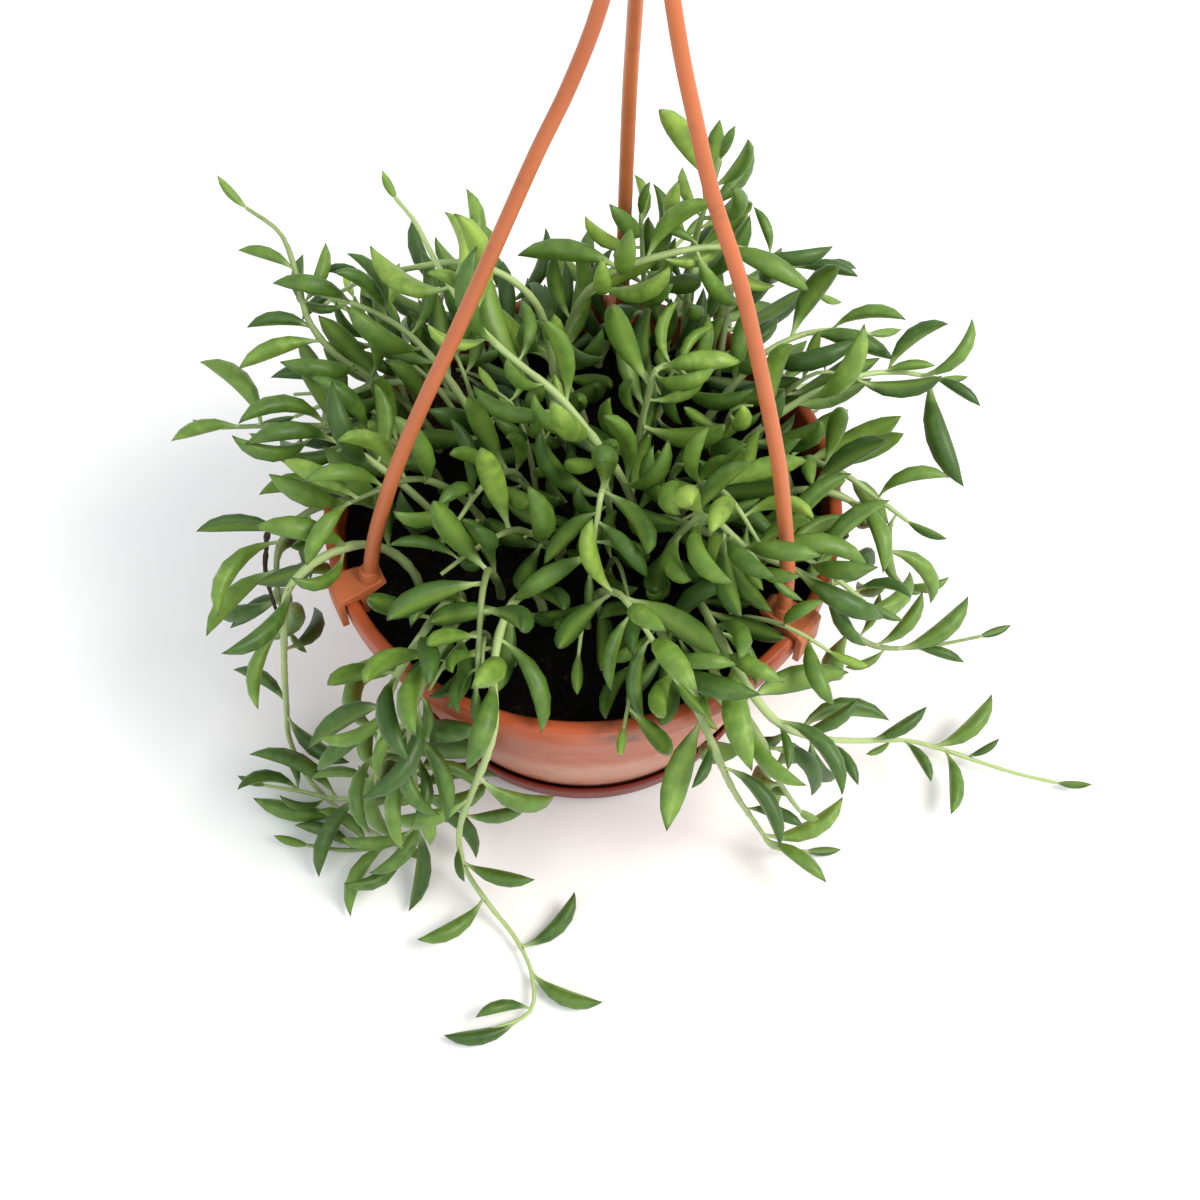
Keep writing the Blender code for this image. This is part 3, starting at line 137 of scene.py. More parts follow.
# The routes that show best, from the soil to the tip, as listed points
TRAILING_ROUTES = (
    # front stem, down to the surface and forward along it
    ((-12, -33, 82), (-15, -36, 100), (-21, -48, 110), (-24, -66, 110), (-24, -80, 101), (-30, -84, 76),
     (-37, -86, 46), (-38, -89, 22), (-33, -95, 10), (-26, -103, 5), (-19, -112, 4), (-16, -121, 4),
     (-15, -129, 4), (-20, -134, 4), (-28, -137, 4)),
    # thin stem on the left that meets the surface
    ((-50, -22, 82), (-57, -24, 100), (-70, -31, 110), (-84, -36, 99), (-92, -36, 62), (-98, -36, 24),
     (-99, -42, 8), (-91, -56, 5), (-77, -68, 4), (-62, -77, 4)),
    # lower left clump
    ((-36, -30, 82), (-38, -38, 100), (-46, -58, 109), (-54, -68, 98), (-60, -70, 66), (-66, -66, 30),
     (-78, -63, 9), (-96, -58, 5), (-106, -56, 4)),
    ((-30, -36, 82), (-33, -42, 101), (-40, -62, 110), (-47, -74, 98), (-50, -77, 62), (-52, -76, 26),
     (-58, -77, 9), (-74, -79, 5), (-90, -77, 4)),
    # right stem, whose thin tip reaches furthest
    ((32, -32, 82), (34, -40, 100), (41, -62, 110), (51, -74, 100), (67, -66, 66), (86, -54, 36),
     (106, -45, 16), (123, -46, 8), (140, -51, 5), (157, -55, 4)),
    # right stem at middle height, ending in a fan
    ((20, -10, 82), (22, -13, 104), (30, -21, 113), (42, -28, 117), (55, -35, 116), (67, -35, 109),
     (76, -37, 94), (83, -37, 76), (95, -32, 58), (112, -25, 46), (128, -19, 40)),
    # right stem above it
    ((40, 8, 82), (46, 10, 104), (58, 14, 118), (72, 18, 126), (88, 23, 126), (106, 27, 117)),
    # lower right stem
    ((18, -38, 82), (20, -46, 102), (27, -66, 110), (35, -80, 98), (44, -82, 64), (54, -80, 30),
     (62, -80, 9), (72, -79, 4)),
    # long stem that arches over the back
    ((-8, 44, 82), (-6, 43, 112), (2, 42, 140), (20, 44, 151), (40, 50, 149), (58, 56, 136), (72, 60, 116)),
    # stem that arches to the back left
    ((-8, 33, 82), (-9, 35, 112), (-14, 38, 140), (-30, 42, 151), (-50, 48, 142), (-68, 56, 126),
     (-80, 63, 108)),
    # long stem from the middle over the pot to the far left
    ((16, -6, 82), (14, -7, 106), (6, -6, 128), (-8, 4, 143), (-24, 14, 151), (-37, 30, 157),
     (-46, 48, 160), (-53, 60, 158)),
    # top left tip
    ((-46, 26, 82), (-53, 27, 104), (-66, 28, 120), (-78, 33, 130), (-82, 44, 140), (-86, 54, 147),
     (-91, 59, 151), (-97, 62, 152)),
    # far left
    ((-44, 10, 82), (-50, 10, 102), (-64, 10, 114), (-82, 13, 113), (-100, 19, 104), (-112, 24, 96)),
    # upright stems behind the right arm
    ((30, 54, 82), (31, 57, 110), (32, 59, 136), (35, 58, 158), (38, 57, 177)),
    ((20, 56, 82), (19, 57, 106), (17, 56, 132), (15, 57, 156)),
    # left side, below the rim
    ((-52, -6, 82), (-60, -8, 102), (-74, -12, 110), (-88, -17, 99), (-93, -22, 76), (-92, -26, 56)),
    # right side, below the rim
    ((50, -4, 82), (57, -5, 102), (70, -8, 111), (84, -12, 102), (92, -14, 80), (100, -12, 62)),
    # front right, hanging over the rim
    ((26, -44, 82), (30, -52, 102), (38, -68, 108), (50, -78, 92), (58, -80, 64), (66, -80, 42)),
    # back, down to the surface behind the pot
    ((24, 46, 82), (27, 54, 104), (34, 70, 112), (40, 84, 98), (46, 92, 60), (54, 97, 22),
     (66, 103, 7), (84, 108, 4)),
    # back left, hanging over the rim
    ((-28, 44, 82), (-32, 53, 97), (-38, 67, 103), (-46, 82, 90), (-51, 88, 62), (-55, 91, 36)),
    # left clump, over the rim and above it
    ((-37, -11, 82), (-46, -10, 106), (-60, -4, 119), (-75, 4, 121), (-90, 9, 112)),
    ((-27, 20, 82), (-35, 24, 108), (-48, 32, 128), (-63, 39, 135), (-77, 47, 131)),
    # right side, over the rim
    ((34, 25, 82), (43, 29, 106), (56, 36, 120), (72, 42, 121), (87, 47, 113)),
)

# Leaves set one by one where the photo shows them clear of the rest: the number of the stem, where the leaf
# leaves it, where it ends, the side it bends to, and how far it bends in degrees
PLACED_LEAVES = (
    (0, (-31, -97, 10), (-52, -111, 12), (-0.5, 0.9, 0.5), 55),
    (0, (-38, -89, 22), (-15, -96, 25), (0.3, 0.9, 0.5), 34),
    (0, (-36, -86, 53), (-16, -84, 57), (0.0, 0.9, 0.5), 40),
    (0, (-38, -87, 32), (-36, -100, 34), (1.0, 0.2, 0.1), 30),
    (0, (-21, -111, 5), (-3, -94, 8), (-1.0, 0.9, 0.5), 66),
    (0, (-17, -119, 4), (6, -129, 6), (0.6, 0.9, 0.5), 56),
    (0, (-20, -133, 4), (-43, -139, 5), (-0.2, 0.9, 0.5), 48),
    (0, (-17, -130, 4), (-33, -135, 10), (0.1, -0.9, -0.5), 55),
    (1, (-98, -36, 23), (-116, -24, 26), (-0.6, -0.9, -0.5), 60),
    (1, (-98, -37, 17), (-77, -52, 14), (1.0, 0.7, 0.4), 45),
    (1, (-82, -63, 3), (-98, -59, 7), (0.0, 0.9, 0.5), 45),
    (1, (-79, -65, 3), (-109, -62, 5), (0.0, 0.9, 0.5), 28),
    (7, (59, -80, 17), (76, -95, 19), (-0.5, -0.9, -0.5), 26),
    (7, (49, -81, 46), (66, -89, 51), (0.2, -0.9, -0.5), 40),
    (7, (57, -80, 21), (82, -69, 25), (-0.2, 0.9, 0.5), 72),
    (7, (36, -81, 96), (30, -95, 96), (-1.0, 0.2, 0.1), 35),
    (7, (42, -82, 71), (61, -82, 74), (0.0, 0.9, 0.5), 40),
    (4, (72, -63, 56), (82, -78, 57), (-1.0, -0.3, -0.1), 40),
    (4, (55, -73, 92), (57, -88, 92), (-1.0, 0.1, 0.0), 38),
    (4, (62, -69, 76), (80, -61, 82), (-0.5, 0.9, 0.5), 50),
    (4, (91, -51, 30), (110, -41, 34), (-0.3, 0.9, 0.5), 34),
    (4, (105, -46, 17), (112, -61, 19), (-1.0, -0.4, -0.2), 44),
    (4, (101, -47, 21), (91, -53, 23), (0.0, 0.9, 0.5), 30),
    (4, (115, -45, 11), (136, -28, 16), (-0.7, 0.9, 0.5), 62),
    (4, (120, -45, 9), (119, -69, 11), (-1.0, 0.0, 0.0), 48),
    (4, (127, -47, 7), (138, -42, 11), (-0.2, 0.9, 0.5), 30),
    (5, (99, -30, 56), (121, -15, 60), (-0.8, 0.9, 0.5), 58),
    (5, (92, -34, 66), (104, -20, 72), (-1.0, 0.4, 0.2), 58),
    (5, (88, -37, 77), (89, -26, 82), (-1.0, 0.2, 0.1), 34),
    (5, (104, -28, 52), (120, -33, 52), (0.1, -0.9, -0.5), 24),
    (5, (95, -32, 60), (81, -38, 56), (-0.2, 0.9, 0.5), 52),
    (16, (98, -12, 65), (114, -12, 67), (0.0, 0.9, 0.5), 76),
    (16, (78, -10, 107), (101, -11, 109), (0.0, 0.9, 0.5), 24),
    (6, (103, 26, 119), (112, -4, 106), (1.0, 0.4, 0.2), 34),
    (6, (103, 26, 119), (117, 17, 117), (-0.2, -0.9, -0.5), 30),
    (6, (87, 23, 126), (102, 22, 130), (0.0, -0.9, -0.5), 28),
    (22, (66, 40, 122), (92, 30, 122), (0.2, -0.9, -0.5), 36),
    (8, (62, 57, 131), (82, 54, 131), (0.0, -0.9, -0.5), 40),
    (8, (55, 55, 139), (50, 67, 147), (-1.0, 0.0, 0.0), 44),
    (8, (11, 43, 148), (-19, 51, 144), (0.0, -0.9, -0.5), 44),
    (8, (34, 48, 151), (22, 52, 154), (0.2, -0.9, -0.5), 46),
    (13, (35, 58, 156), (49, 79, 160), (-1.0, 0.2, 0.1), 44),
    (13, (34, 58, 152), (29, 74, 156), (1.0, 0.0, 0.0), 42),
    (14, (17, 56, 152), (15, 71, 156), (-1.0, 0.0, 0.0), 60),
    (14, (17, 56, 156), (6, 60, 160), (0.0, -0.9, -0.5), 50),
    (9, (-32, 43, 150), (-33, 62, 160), (-1.0, 0.0, 0.0), 58),
    (9, (-64, 54, 130), (-78, 55, 132), (0.1, -0.9, -0.5), 60),
    (9, (-64, 54, 130), (-60, 38, 126), (-1.0, 0.0, 0.0), 30),
    (9, (-73, 59, 120), (-85, 48, 118), (0.5, -0.9, -0.5), 50),
    (11, (-85, 45, 144), (-100, 53, 144), (-0.1, -0.9, -0.5), 46),
    (11, (-82, 38, 136), (-82, 56, 142), (1.0, 0.0, 0.0), 42),
    (11, (-82, 39, 137), (-75, 57, 143), (-1.0, 0.4, 0.2), 40),
    (11, (-78, 34, 131), (-98, 35, 131), (-0.5, -0.9, -0.5), 66),
    (11, (-76, 32, 129), (-100, 23, 127), (0.1, -0.9, -0.5), 40),
    (12, (-104, 21, 102), (-125, 17, 99), (0.1, -0.9, -0.5), 44),
    (12, (-96, 18, 106), (-116, 37, 112), (-0.6, -0.9, -0.5), 72),
)
# Shares of their own stems along which the other leaves still grow
SPIRAL_SHARES = {0: 0.52, 1: 0.5, 4: 0.46, 5: 0.66, 7: 0.5, 9: 0.35, 10: 0.78, 11: 0.5, 12: 0.55}

# Short stems fill the pot between them, rooted on a spiral round the plant's own middle
GOLDEN_ANGLE = math.radians(137.508)
BUSH_SEED = 41
BUSH_PLACES = 24
BUSH_CENTRE = (7.0, 9.0)
BUSH_RADIUS = 53.0
ROOTS_APART = 7.0
BUSH_LEAN_CHANGE = 0.9
BUSH_HEIGHT = (46.0, 68.0)
BUSH_EDGE_LOSS = 16.0
BUSH_REACH = 20.0
BUSH_EDGE_REACH = (24.0, 36.0)
BUSH_DROP = (0.1, 0.45)
BUSH_BACK_START = 12.0
BUSH_BACK_SHARE = 0.64
BUSH_SHARES = (0.0, 0.3, 0.6, 1.0)
BUSH_PEAK = 0.8
BUSH_TURN = 0.6
BUSH_OUTWARD_POWER = 1.5

# Room between stems, and round the pot, soil, surface and hanger
SETTLE_ROUNDS = 70
UNEASED_ROUNDS = 12
SETTLE_RATE = 1.6
SEGMENT_SHARES = (0.0, 0.25, 0.5, 0.75)
STEM_APART = 4.3
STEM_GUARD = 2.3
FLOOR_GUARD = 1.9
ARM_GUARD_POINTS = 90
ARM_GUARD_RADIUS = 2.65
CLIP_GUARD_REACHES = (65.0, 68.0, 71.0, 74.0, 77.0, 80.0)
CLIP_GUARD_SIDES = (-3.5, 0.0, 3.5)
CLIP_GUARD_LEVELS = (96.0, 90.0, 86.0)
CLIP_GUARD_LEG_REACH = 76.0
CLIP_GUARD_RADIUS = 2.9
INSIDE_RADIUS = 75.0
INSIDE_LEVEL = 60.0
NOWHERE = -1000.0
# Both ends of each straight stretch of wall as radius and height, and its half thickness
POT_SECTION = (
    ((76.0, 86.5), (76.0, 93.0), 2.2),
    ((75.0, 84.0), (71.8, 70.0), 0.9),
    ((71.8, 70.0), (66.4, 45.0), 0.9),
    ((66.4, 45.0), (61.0, 22.0), 0.9),
    ((61.0, 22.0), (56.8, 6.5), 0.9),
    ((60.7, 11.0), (58.5, 1.0), 1.0),
    ((58.5, 1.0), (0.0, 1.0), 1.0),
)

# Leaves
LEAF_SEED = 700
LEAF_LENGTH = (27.0, 35.0)
LEAF_WIDTH_RATIO = 0.215
LEAF_DEPTH_RATIO = 0.185
LEAF_OPENING_DEGREES = (44.0, 74.0)
BUSH_OPENING_DEGREES = (66.0, 98.0)
LEAF_BEND_DEGREES = (58.0, 104.0)
TRAILING_LEAF_SPACING = 12.7
BUSH_LEAF_SPACING = 8.3
ARCH_LEAF_SPACING = 21.0
# Numbers of the routes that arch over the back with few leaves
ARCHES = (8, 9)
SPACING_CHANGE = (0.8, 1.2)
FIRST_LEAF_HEIGHT = (11.0, 17.0)
LAST_LEAF_FROM_TIP = 3.0
TURN_CHANGE = 0.3
YOUNG_STRETCH = 26.0
YOUNG_LOSS = 0.4
CURL_ALONG = 0.75
CURL_UP = 0.45
CURL_SIDE = 1.1
SKEW_UP = (0.31, 0.17, 0.94)
TIP_LEAF_LENGTH = (11.0, 16.0)
TIP_LEAF_WIDTH_RATIO = 0.23
TIP_LEAF_DEPTH_RATIO = 0.185
TIP_LEAF_BEND_DEGREES = 30.0
TIP_LEAF_OVERLAP = 1.5
SECTION_OVERSIZE = 1.12
# Distance along the leaf and half width there, both as shares of the greatest
LEAF_STATIONS = ((0.0, 0.0), (0.15, 0.46), (0.45, 1.0), (0.76, 0.74), (1.0, 0.0))
BALL_SHARES = np.array((0.12, 0.22, 0.33, 0.45, 0.56, 0.67, 0.78, 0.88, 0.97))
SMALLEST_BALL = 0.5
ROOT_BALLS = 2
OWN_STEM_BALLS = 4
LEAF_GAP = 0.45
LIFT_TRIES = (0.0, 1.5, 3.0, 5.0, 8.0, -3.0, -6.0)
TURN_TRIES = (0.0, 0.5, -0.5, 1.0, -1.0, 1.6, -1.6, 2.3, -2.3, 3.1)
SIZE_TRIES = (1.0, 0.86, 0.72)
STEM_BALL_SHARES = (0.0, 0.2, 0.4, 0.6, 0.8)
STEM_BALL_RADIUS = 1.65
HANGER_OWNER = -1
STEM_OWNER = 1000

# Fine pieces
TURNED_SIDES = 96
LIP_ARC_STEPS = 5
# How far the lip's lower edge is rounded, inwards and upwards
LIP_EDGE = (0.5, 0.4)
# The saucer's inner foot, the two sides of its round top edge with their drop, and its outer foot
SAUCER_INNER_EDGE = (0.2, 0.4)
SAUCER_TOP_SIDES = (0.4, 0.5)
SAUCER_TOP_DROP = 0.15
SAUCER_FOOT_RISE = 0.2
DRILL_LENGTH = 4.0 * POT_FLOOR_TOP
ROD_POINTS = 48
ROD_ROUNDNESS = 4
CLIP_BEVEL = 0.7
CLIP_TOE_NARROWING = 0.62
KNOB_TOP_RADIUS = 2.5
KNOB_SIDES = 32
KNOB_BEVEL = 0.6
BEVEL_SEGMENTS = 3
BEVEL_DEGREES = 30.0
HUB_SIDES = 48
HUB_BEVEL = 1.2
SMOOTH_DEGREES = 35.0
SOIL_SMOOTH_DEGREES = 50.0
LEAF_SMOOTH_DEGREES = 62.0
# Radius of the small ring at the middle of turned shapes, which is filled at the end
MIDDLE_RING = 1.0

# Soil, its small crumbs and the coarse brown bark that shows at the back left
SOIL_RINGS_FINE = 62
SOIL_SIDES_FINE = 180
LOOSE_GRAIN = 0.35
LOOSE_WAVES = (0.5, 1.1, 0.4, 0.93, 1.9)
# Height of the slanting ripples, and their steps along x and y
LOOSE_RIPPLES = (0.35, 0.63, 0.8)
# Width of the soil's edge, over which its grain dies away
CALM_EDGE = 3.0
CRUMB_SEED = 5
LUMP_CHANGE = (0.72, 1.2)
LUMP_TILT = 0.5
CRUMB_COUNT = 420
CRUMB_SIZE = (0.9, 2.6)
CRUMB_FLATNESS = 0.8
CRUMB_RISE = 0.35
CRUMB_FROM_EDGE = 3.5
BARK_COUNT = 26
BARK_SIZE = (3.0, 6.5)
BARK_FLATNESS = 0.4
BARK_RISE = 0.3
BARK_FROM_EDGE = 6.0
BARK_PLACE = (-42.0, 45.0)
BARK_REACH = 17.0

# Fine leaves: distance along, and half width there, both as shares of the greatest
FINE_STATIONS = (
    (0.0, 0.2), (0.1, 0.2), (0.21, 0.46), (0.35, 0.82), (0.52, 1.0), (0.68, 0.95), (0.82, 0.7),
    (0.93, 0.29), (1.0, 0.0),
)
FINE_SIDES = 10
FINE_OVERSIZE = 0.98
WIDTH_CHANGE = (0.9, 1.14)
PLACED_OVERSIZE = 1.22
BELLY = 1.08
BACK = 0.78
# Distance from the leaf's middle line under which a point has no side of its own
NO_SIDE = 0.01
FINE_STEM_STEP = 3.2
FINE_STEM_ROUNDNESS = 2
NODE_SWELL = 0.16
SWELL_RANGE = (-0.5, 1.0)
YOUNG_TAPER = 0.38

# The rest of the leaves and shoots, which only the fine model has
MORE_SEED = 900
MORE_SPACING = 10.5
MORE_LENGTH = (20.0, 31.0)
MORE_OPENING_DEGREES = (60.0, 95.0)
MORE_START = 4.0
MORE_REACH = 76.0
MORE_LEVEL = 86.0
# Share of a leaf's length at which it is held against the bare soil
SEEN_SHARE = 0.6
# How much fresher than the stems' own leaves the extra ones are
MORE_FRESHNESS = 0.08
SHOOT_FRESHNESS = 0.16
SHOOT_TIP_FRESHNESS = 0.3
# Numbers of the stems that are thick with leaves also outside the pot
DENSE_STEMS = (2, 3, 15, 20, 21)
SHOOT_SEED = 77
SHOOT_TRIES = 300
SHOOT_RADIUS = (1.05, 0.75)
SHOOT_LEAF_LENGTH = (18.0, 27.0)
SHOOT_LEAF_SPACING = 7.5
SHOOT_FIRST_LEAF = (4.0, 9.0)
SHOOT_GAP = 0.5
SHOOT_ROOT_DEPTH = 5.0
SHOOT_LEAN_CHANGE = 0.7
SHOOT_ARCH = 0.62
SHOOT_OUTWARD_POWER = 1.5
SHOOT_FOOT_RISE = 2.0
SHOOT_STEP = 6.0
SHOOT_POINTS = 6
# Where shoots grow: how many, azimuths and radii of their roots, then their reach and height
SHOOT_ZONES = (
    (6, (0.0, 360.0), (0.0, 46.0), (6.0, 26.0), (20.0, 42.0)),
    (5, (140.0, 190.0), (34.0, 60.0), (24.0, 52.0), (18.0, 36.0)),
    (3, (95.0, 140.0), (30.0, 58.0), (14.0, 34.0), (14.0, 22.0)),
    (4, (-25.0, 75.0), (34.0, 60.0), (16.0, 42.0), (24.0, 46.0)),
    (3, (215.0, 250.0), (48.0, 62.0), (18.0, 34.0), (18.0, 30.0)),
    (3, (285.0, 325.0), (48.0, 62.0), (18.0, 34.0), (18.0, 30.0)),
    (2, (250.0, 290.0), (24.0, 54.0), (12.0, 30.0), (16.0, 32.0)),
)
# Bare soil shows between the stems here, as x, y and reach
BARE_PATCHES = ((-45.0, -4.0, 22.0), (-38.0, -30.0, 16.0), (-4.0, -50.0, 11.0), (-42.0, 45.0, 15.0))

# Dried bits that hang on the left: a thin stem, and a leaf placed as the listed leaves are
DRIED_STEM = (
    (-92.4, -10.8, 97.0), (-94.6, -12.3, 91.0), (-95.5, -14.2, 86.0), (-96.2, -17.1, 82.0),
    (-95.7, -20.4, 78.0), (-94.8, -23.7, 74.0), (-93.4, -27.1, 70.0),
)
DRIED_STEM_RADII = (0.95, 0.5)
DRIED_STEM_POINTS = 26
DRIED_STEM_CHANGE = (0.75, 1.25)
DRIED_SEED = 12
DRIED_LEAF = (15, (-68.0, -10.0, 108.0), (-85.0, 0.0, 101.0), (0.0, -0.5, 0.5), 110.0)
DRIED_CRUMPLE = 0.4

# Camera, light and floor
CAMERA_PLACE = (5.1, -268.6, 516.7)
CAMERA_TILT_DEGREES = 28.9
CAMERA_LENS = 49.8
CAMERA_SENSOR = 36.0
FLOOR_SIZE = 6000.0
FLOOR_SHADER = {"Roughness": 0.8, "Base Color": (0.9, 0.895, 0.885, 1.0)}
SKY_COLOUR = (0.93, 0.97, 1.0)
SKY_STRENGTH = 0.86
# Name, place, target, size, power and colour of each light
LIGHTS = (
    ("window_light", (900.0, -250.0, 1250.0), (0.0, 0.0, 90.0), 700.0, 21.0, (1.0, 0.96, 0.9)),
    ("fill_light", (-600.0, -900.0, 1100.0), (0.0, 0.0, 90.0), 900.0, 5.0, (0.92, 0.96, 1.0)),
)

# Painted light and shade in the leaves' tone: nought, the darkest, under one height, full over the other,
# and one share outside
PAINTED_SHADE_LEVEL = 92.0
PAINTED_LIGHT_LEVEL = 146.0
OUTSIDE_PAINTED_LIGHT = 0.62

# Leaf and stem colours, along tones from nought to one. A point of a stem has STEM_MARK for its share.
STEM_MARK = -0.5
STEM_PALE = (0.36, 0.46, 0.18)
STEM_TONES = ((0.0, (0.15, 0.2, 0.06)), (0.6, STEM_PALE))
LEAF_FRESH = (0.27, 0.4, 0.06)
LEAF_TONES = (
    (0.0, (0.011, 0.034, 0.006)), (0.45, (0.046, 0.108, 0.012)), (0.8, (0.13, 0.235, 0.03)),
    (1.0, LEAF_FRESH),
)
LEAF_SHADER = {
    "Roughness": 0.47, "Specular IOR Level": 0.38, "Subsurface Weight": 0.18,
    "Subsurface Radius": (0.6, 1.0, 0.25), "Subsurface Scale": 0.0016, "Coat Weight": 0.06,
    "Coat Roughness": 0.35,
}
MOTTLE_AMOUNT = 0.55
# The clear line on a leaf's back: where round the leaf it starts and is full, and how clear it is
WINDOW_SIDE = (0.75, 1.0)
WINDOW_AMOUNT = 0.35
# Shares of a leaf's length between which its pale foot ends, and between which its dark tip comes
FOOT_SHARES = (0.24, 0.02)
TIP_SHARES = (0.93, 1.0)
LEAF_TIP = (0.05, 0.04, 0.015)
DRIED_BROWN = (0.06, 0.036, 0.018)
DRIED_BLACK = (0.014, 0.011, 0.007)
DRIED_SHADER = {"Roughness": 0.85}

# Plastic: colour and darker cloud of each piece
POT_COLOURS = ((0.45, 0.085, 0.022), (0.3, 0.05, 0.014))
SAUCER_COLOURS = ((0.2, 0.016, 0.005), (0.11, 0.009, 0.003))
HANGER_COLOURS = ((0.5, 0.14, 0.05), (0.38, 0.09, 0.03))
POT_ROUGHNESS = 0.36
HANGER_ROUGHNESS = 0.4
PLASTIC_SHADER = {"Specular IOR Level": 0.32}
CLOUD_AMOUNT = 0.45
DUST = (0.09, 0.045, 0.025)
DUST_AMOUNT = 0.35
GLOSS_CHANGE = 0.14
GLOSS_SHIFT = -0.05
# Painted reflection: pale colour on the pot's wall between two heights, and a darker brown patch on the
# front of its rim
PAINTED_REFLECTION_COLOUR = (0.6, 0.31, 0.22)
PAINTED_REFLECTION_HEIGHTS = (55.0, 44.0)
PAINTED_REFLECTION_RAGGEDNESS = 6.0
PAINTED_REFLECTION_AMOUNT = 0.72
RIM_PATCH_PLACE = (13.0, -77.6, 93.0)
RIM_PATCH_REACH = (13.0, 6.0)
RIM_PATCH_COLOUR = (0.1, 0.04, 0.022)
RIM_PATCH_AMOUNT = 0.8

# Soil colours, and the bark's, which fades out between two distances from its middle
SOIL_DARK = (0.007, 0.0055, 0.0045)
SOIL_TONES = ((0.0, (0.002, 0.0018, 0.0016)), (0.75, SOIL_DARK), (1.0, (0.04, 0.025, 0.016)))
BARK_TONES = ((0.0, SOIL_DARK), (0.6, (0.06, 0.03, 0.018)), (1.0, (0.16, 0.1, 0.07)))
BARK_FADE = (21.25, 10.2)
SOIL_SHADER = {"Roughness": 0.95, "Specular IOR Level": 0.1}

# Patterns: spots to the metre, detail and roughness, then the limits stretched to nought and one
LEAF_MOTTLE = (260.0, 3.0, 0.55)
PAINTED_REFLECTION_EDGE = (60.0, 5.0, 0.55)
PAINTED_REFLECTION_PATCHES = (35.0, 4.0, 0.55, 0.2, 0.55)
RIM_PATCH_STREAKS = (130.0, 5.0, 0.65, 0.35, 0.6)
PLASTIC_CLOUD = (45.0, 4.0, 0.55, 0.35, 0.7)
PLASTIC_DUST = (120.0, 6.0, 0.7, 0.58, 0.72)
PLASTIC_GLOSS = (160.0, 5.0, 0.55, 0.2, 0.8)
DRIED_GRAIN = (420.0, 5.0, 0.7, 0.35, 0.65)
SOIL_GRAIN = (520.0, 6.0, 0.7, 0.4, 0.68)
# Reliefs: spots to the metre, detail and roughness, then strength and height
LEAF_RELIEF = (900.0, 2.0, 0.55, 0.12, 0.4)
PLASTIC_RELIEF = (1400.0, 2.0, 0.55, 0.06, 0.3)
DRIED_RELIEF = (900.0, 4.0, 0.7, 0.6, 0.6)
SOIL_RELIEF = (1500.0, 4.0, 0.7, 0.7, 0.8)
# A Mix node's inputs and output for colours
MIX_FIRST = 6
MIX_SECOND = 7
MIX_RESULT = 2


# Shapes and the plant's layout, as in the solids


def smooth_route(points, count):
    """Read evenly spaced points from a Catmull-Rom curve through the given ones."""
    known = np.array(points, dtype=float)
    padded = np.vstack([2.0 * known[0] - known[1], known, 2.0 * known[-1] - known[-2]])
    dense = []
    for i in range(1, len(padded) - 2):
        p0, p1, p2, p3 = padded[i - 1:i + 3]
        for step in range(CURVE_STEPS):
            t = step / CURVE_STEPS
            slope = (p2 - p0) * t
            bow = (2.0 * p0 - 5.0 * p1 + 4.0 * p2 - p3) * t ** 2
            twist = (3.0 * p1 - p0 - 3.0 * p2 + p3) * t ** 3
            dense.append(0.5 * (2.0 * p1 + slope + bow + twist))
    dense.append(known[-1])
    dense = np.array(dense)
    travelled = distances_along(dense)
    wanted = np.linspace(0.0, travelled[-1], count)
    return np.column_stack([np.interp(wanted, travelled, dense[:, k]) for k in range(3)])


def distances_along(path):
    """Distance from the path's start to each of its points."""
    steps = np.linalg.norm(np.diff(path, axis=0), axis=1)
    return np.concatenate([[0.0], np.cumsum(steps)])


def points_between(path, shares):
    """Points at the given shares of each of the path's steps."""
    steps = np.diff(path, axis=0)
    return np.vstack([path[:-1] + steps * share for share in shares])


def unit(vector):
    """A vector of length one in the same direction."""
    vector = np.array(vector, dtype=float)
    return vector / np.linalg.norm(vector)


def inner_radius(height):
    """Inner radius of the pot's wall at a height, from its outer outline."""
    heights = [z for _, z in reversed(POT_OUTLINE)]
    radii = [r - WALL for r, _ in reversed(POT_OUTLINE)]
    return float(np.interp(height, heights, radii))


def soil_height(x, y):
    """Height of the soil's uneven top at a place, or at arrays of places."""
    height, x_step, x_start, y_step = SOIL_SWELL
    swell = height * np.sin(x_step * x + x_start) * np.cos(y_step * y)
    return SOIL_LEVEL + swell + crossed_waves(x, y, SOIL_LUMPS)


def crossed_waves(x, y, waves):
    """Height of waves along x and y at a place, or at arrays of places."""
    height, x_step, x_start, y_step, y_start = waves
    return height * np.sin(x_step * x + x_start) * np.sin(y_step * y + y_start)


def clip_outline():
    """Radius and height round the clip's side view, a saddle hooked over the pot's lip."""
    outer = RIM_RADIUS + CLEARANCE
    inner = RIM_RADIUS - LIP_WIDTH - 2.0 * CLEARANCE
    under = RIM_TOP + CLEARANCE
    top = under + CLIP_THICKNESS
    return [
        (outer + CLIP_THICKNESS, CLIP_OUTER_BOTTOM),
        (outer + CLIP_THICKNESS, top - CLIP_CHAMFER),
        (outer + CLIP_THICKNESS - CLIP_CHAMFER, top),
        (CLIP_INNER_REACH + CLIP_CHAMFER, top),
        (CLIP_INNER_REACH, top - CLIP_CHAMFER),
        (CLIP_INNER_REACH, under),
        (inner - CLIP_THICKNESS, under),
        (inner - CLIP_THICKNESS, CLIP_INNER_BOTTOM),
        (inner, CLIP_INNER_BOTTOM),
        (inner, under),
        (outer, under),
        (outer, CLIP_OUTER_BOTTOM),
    ]


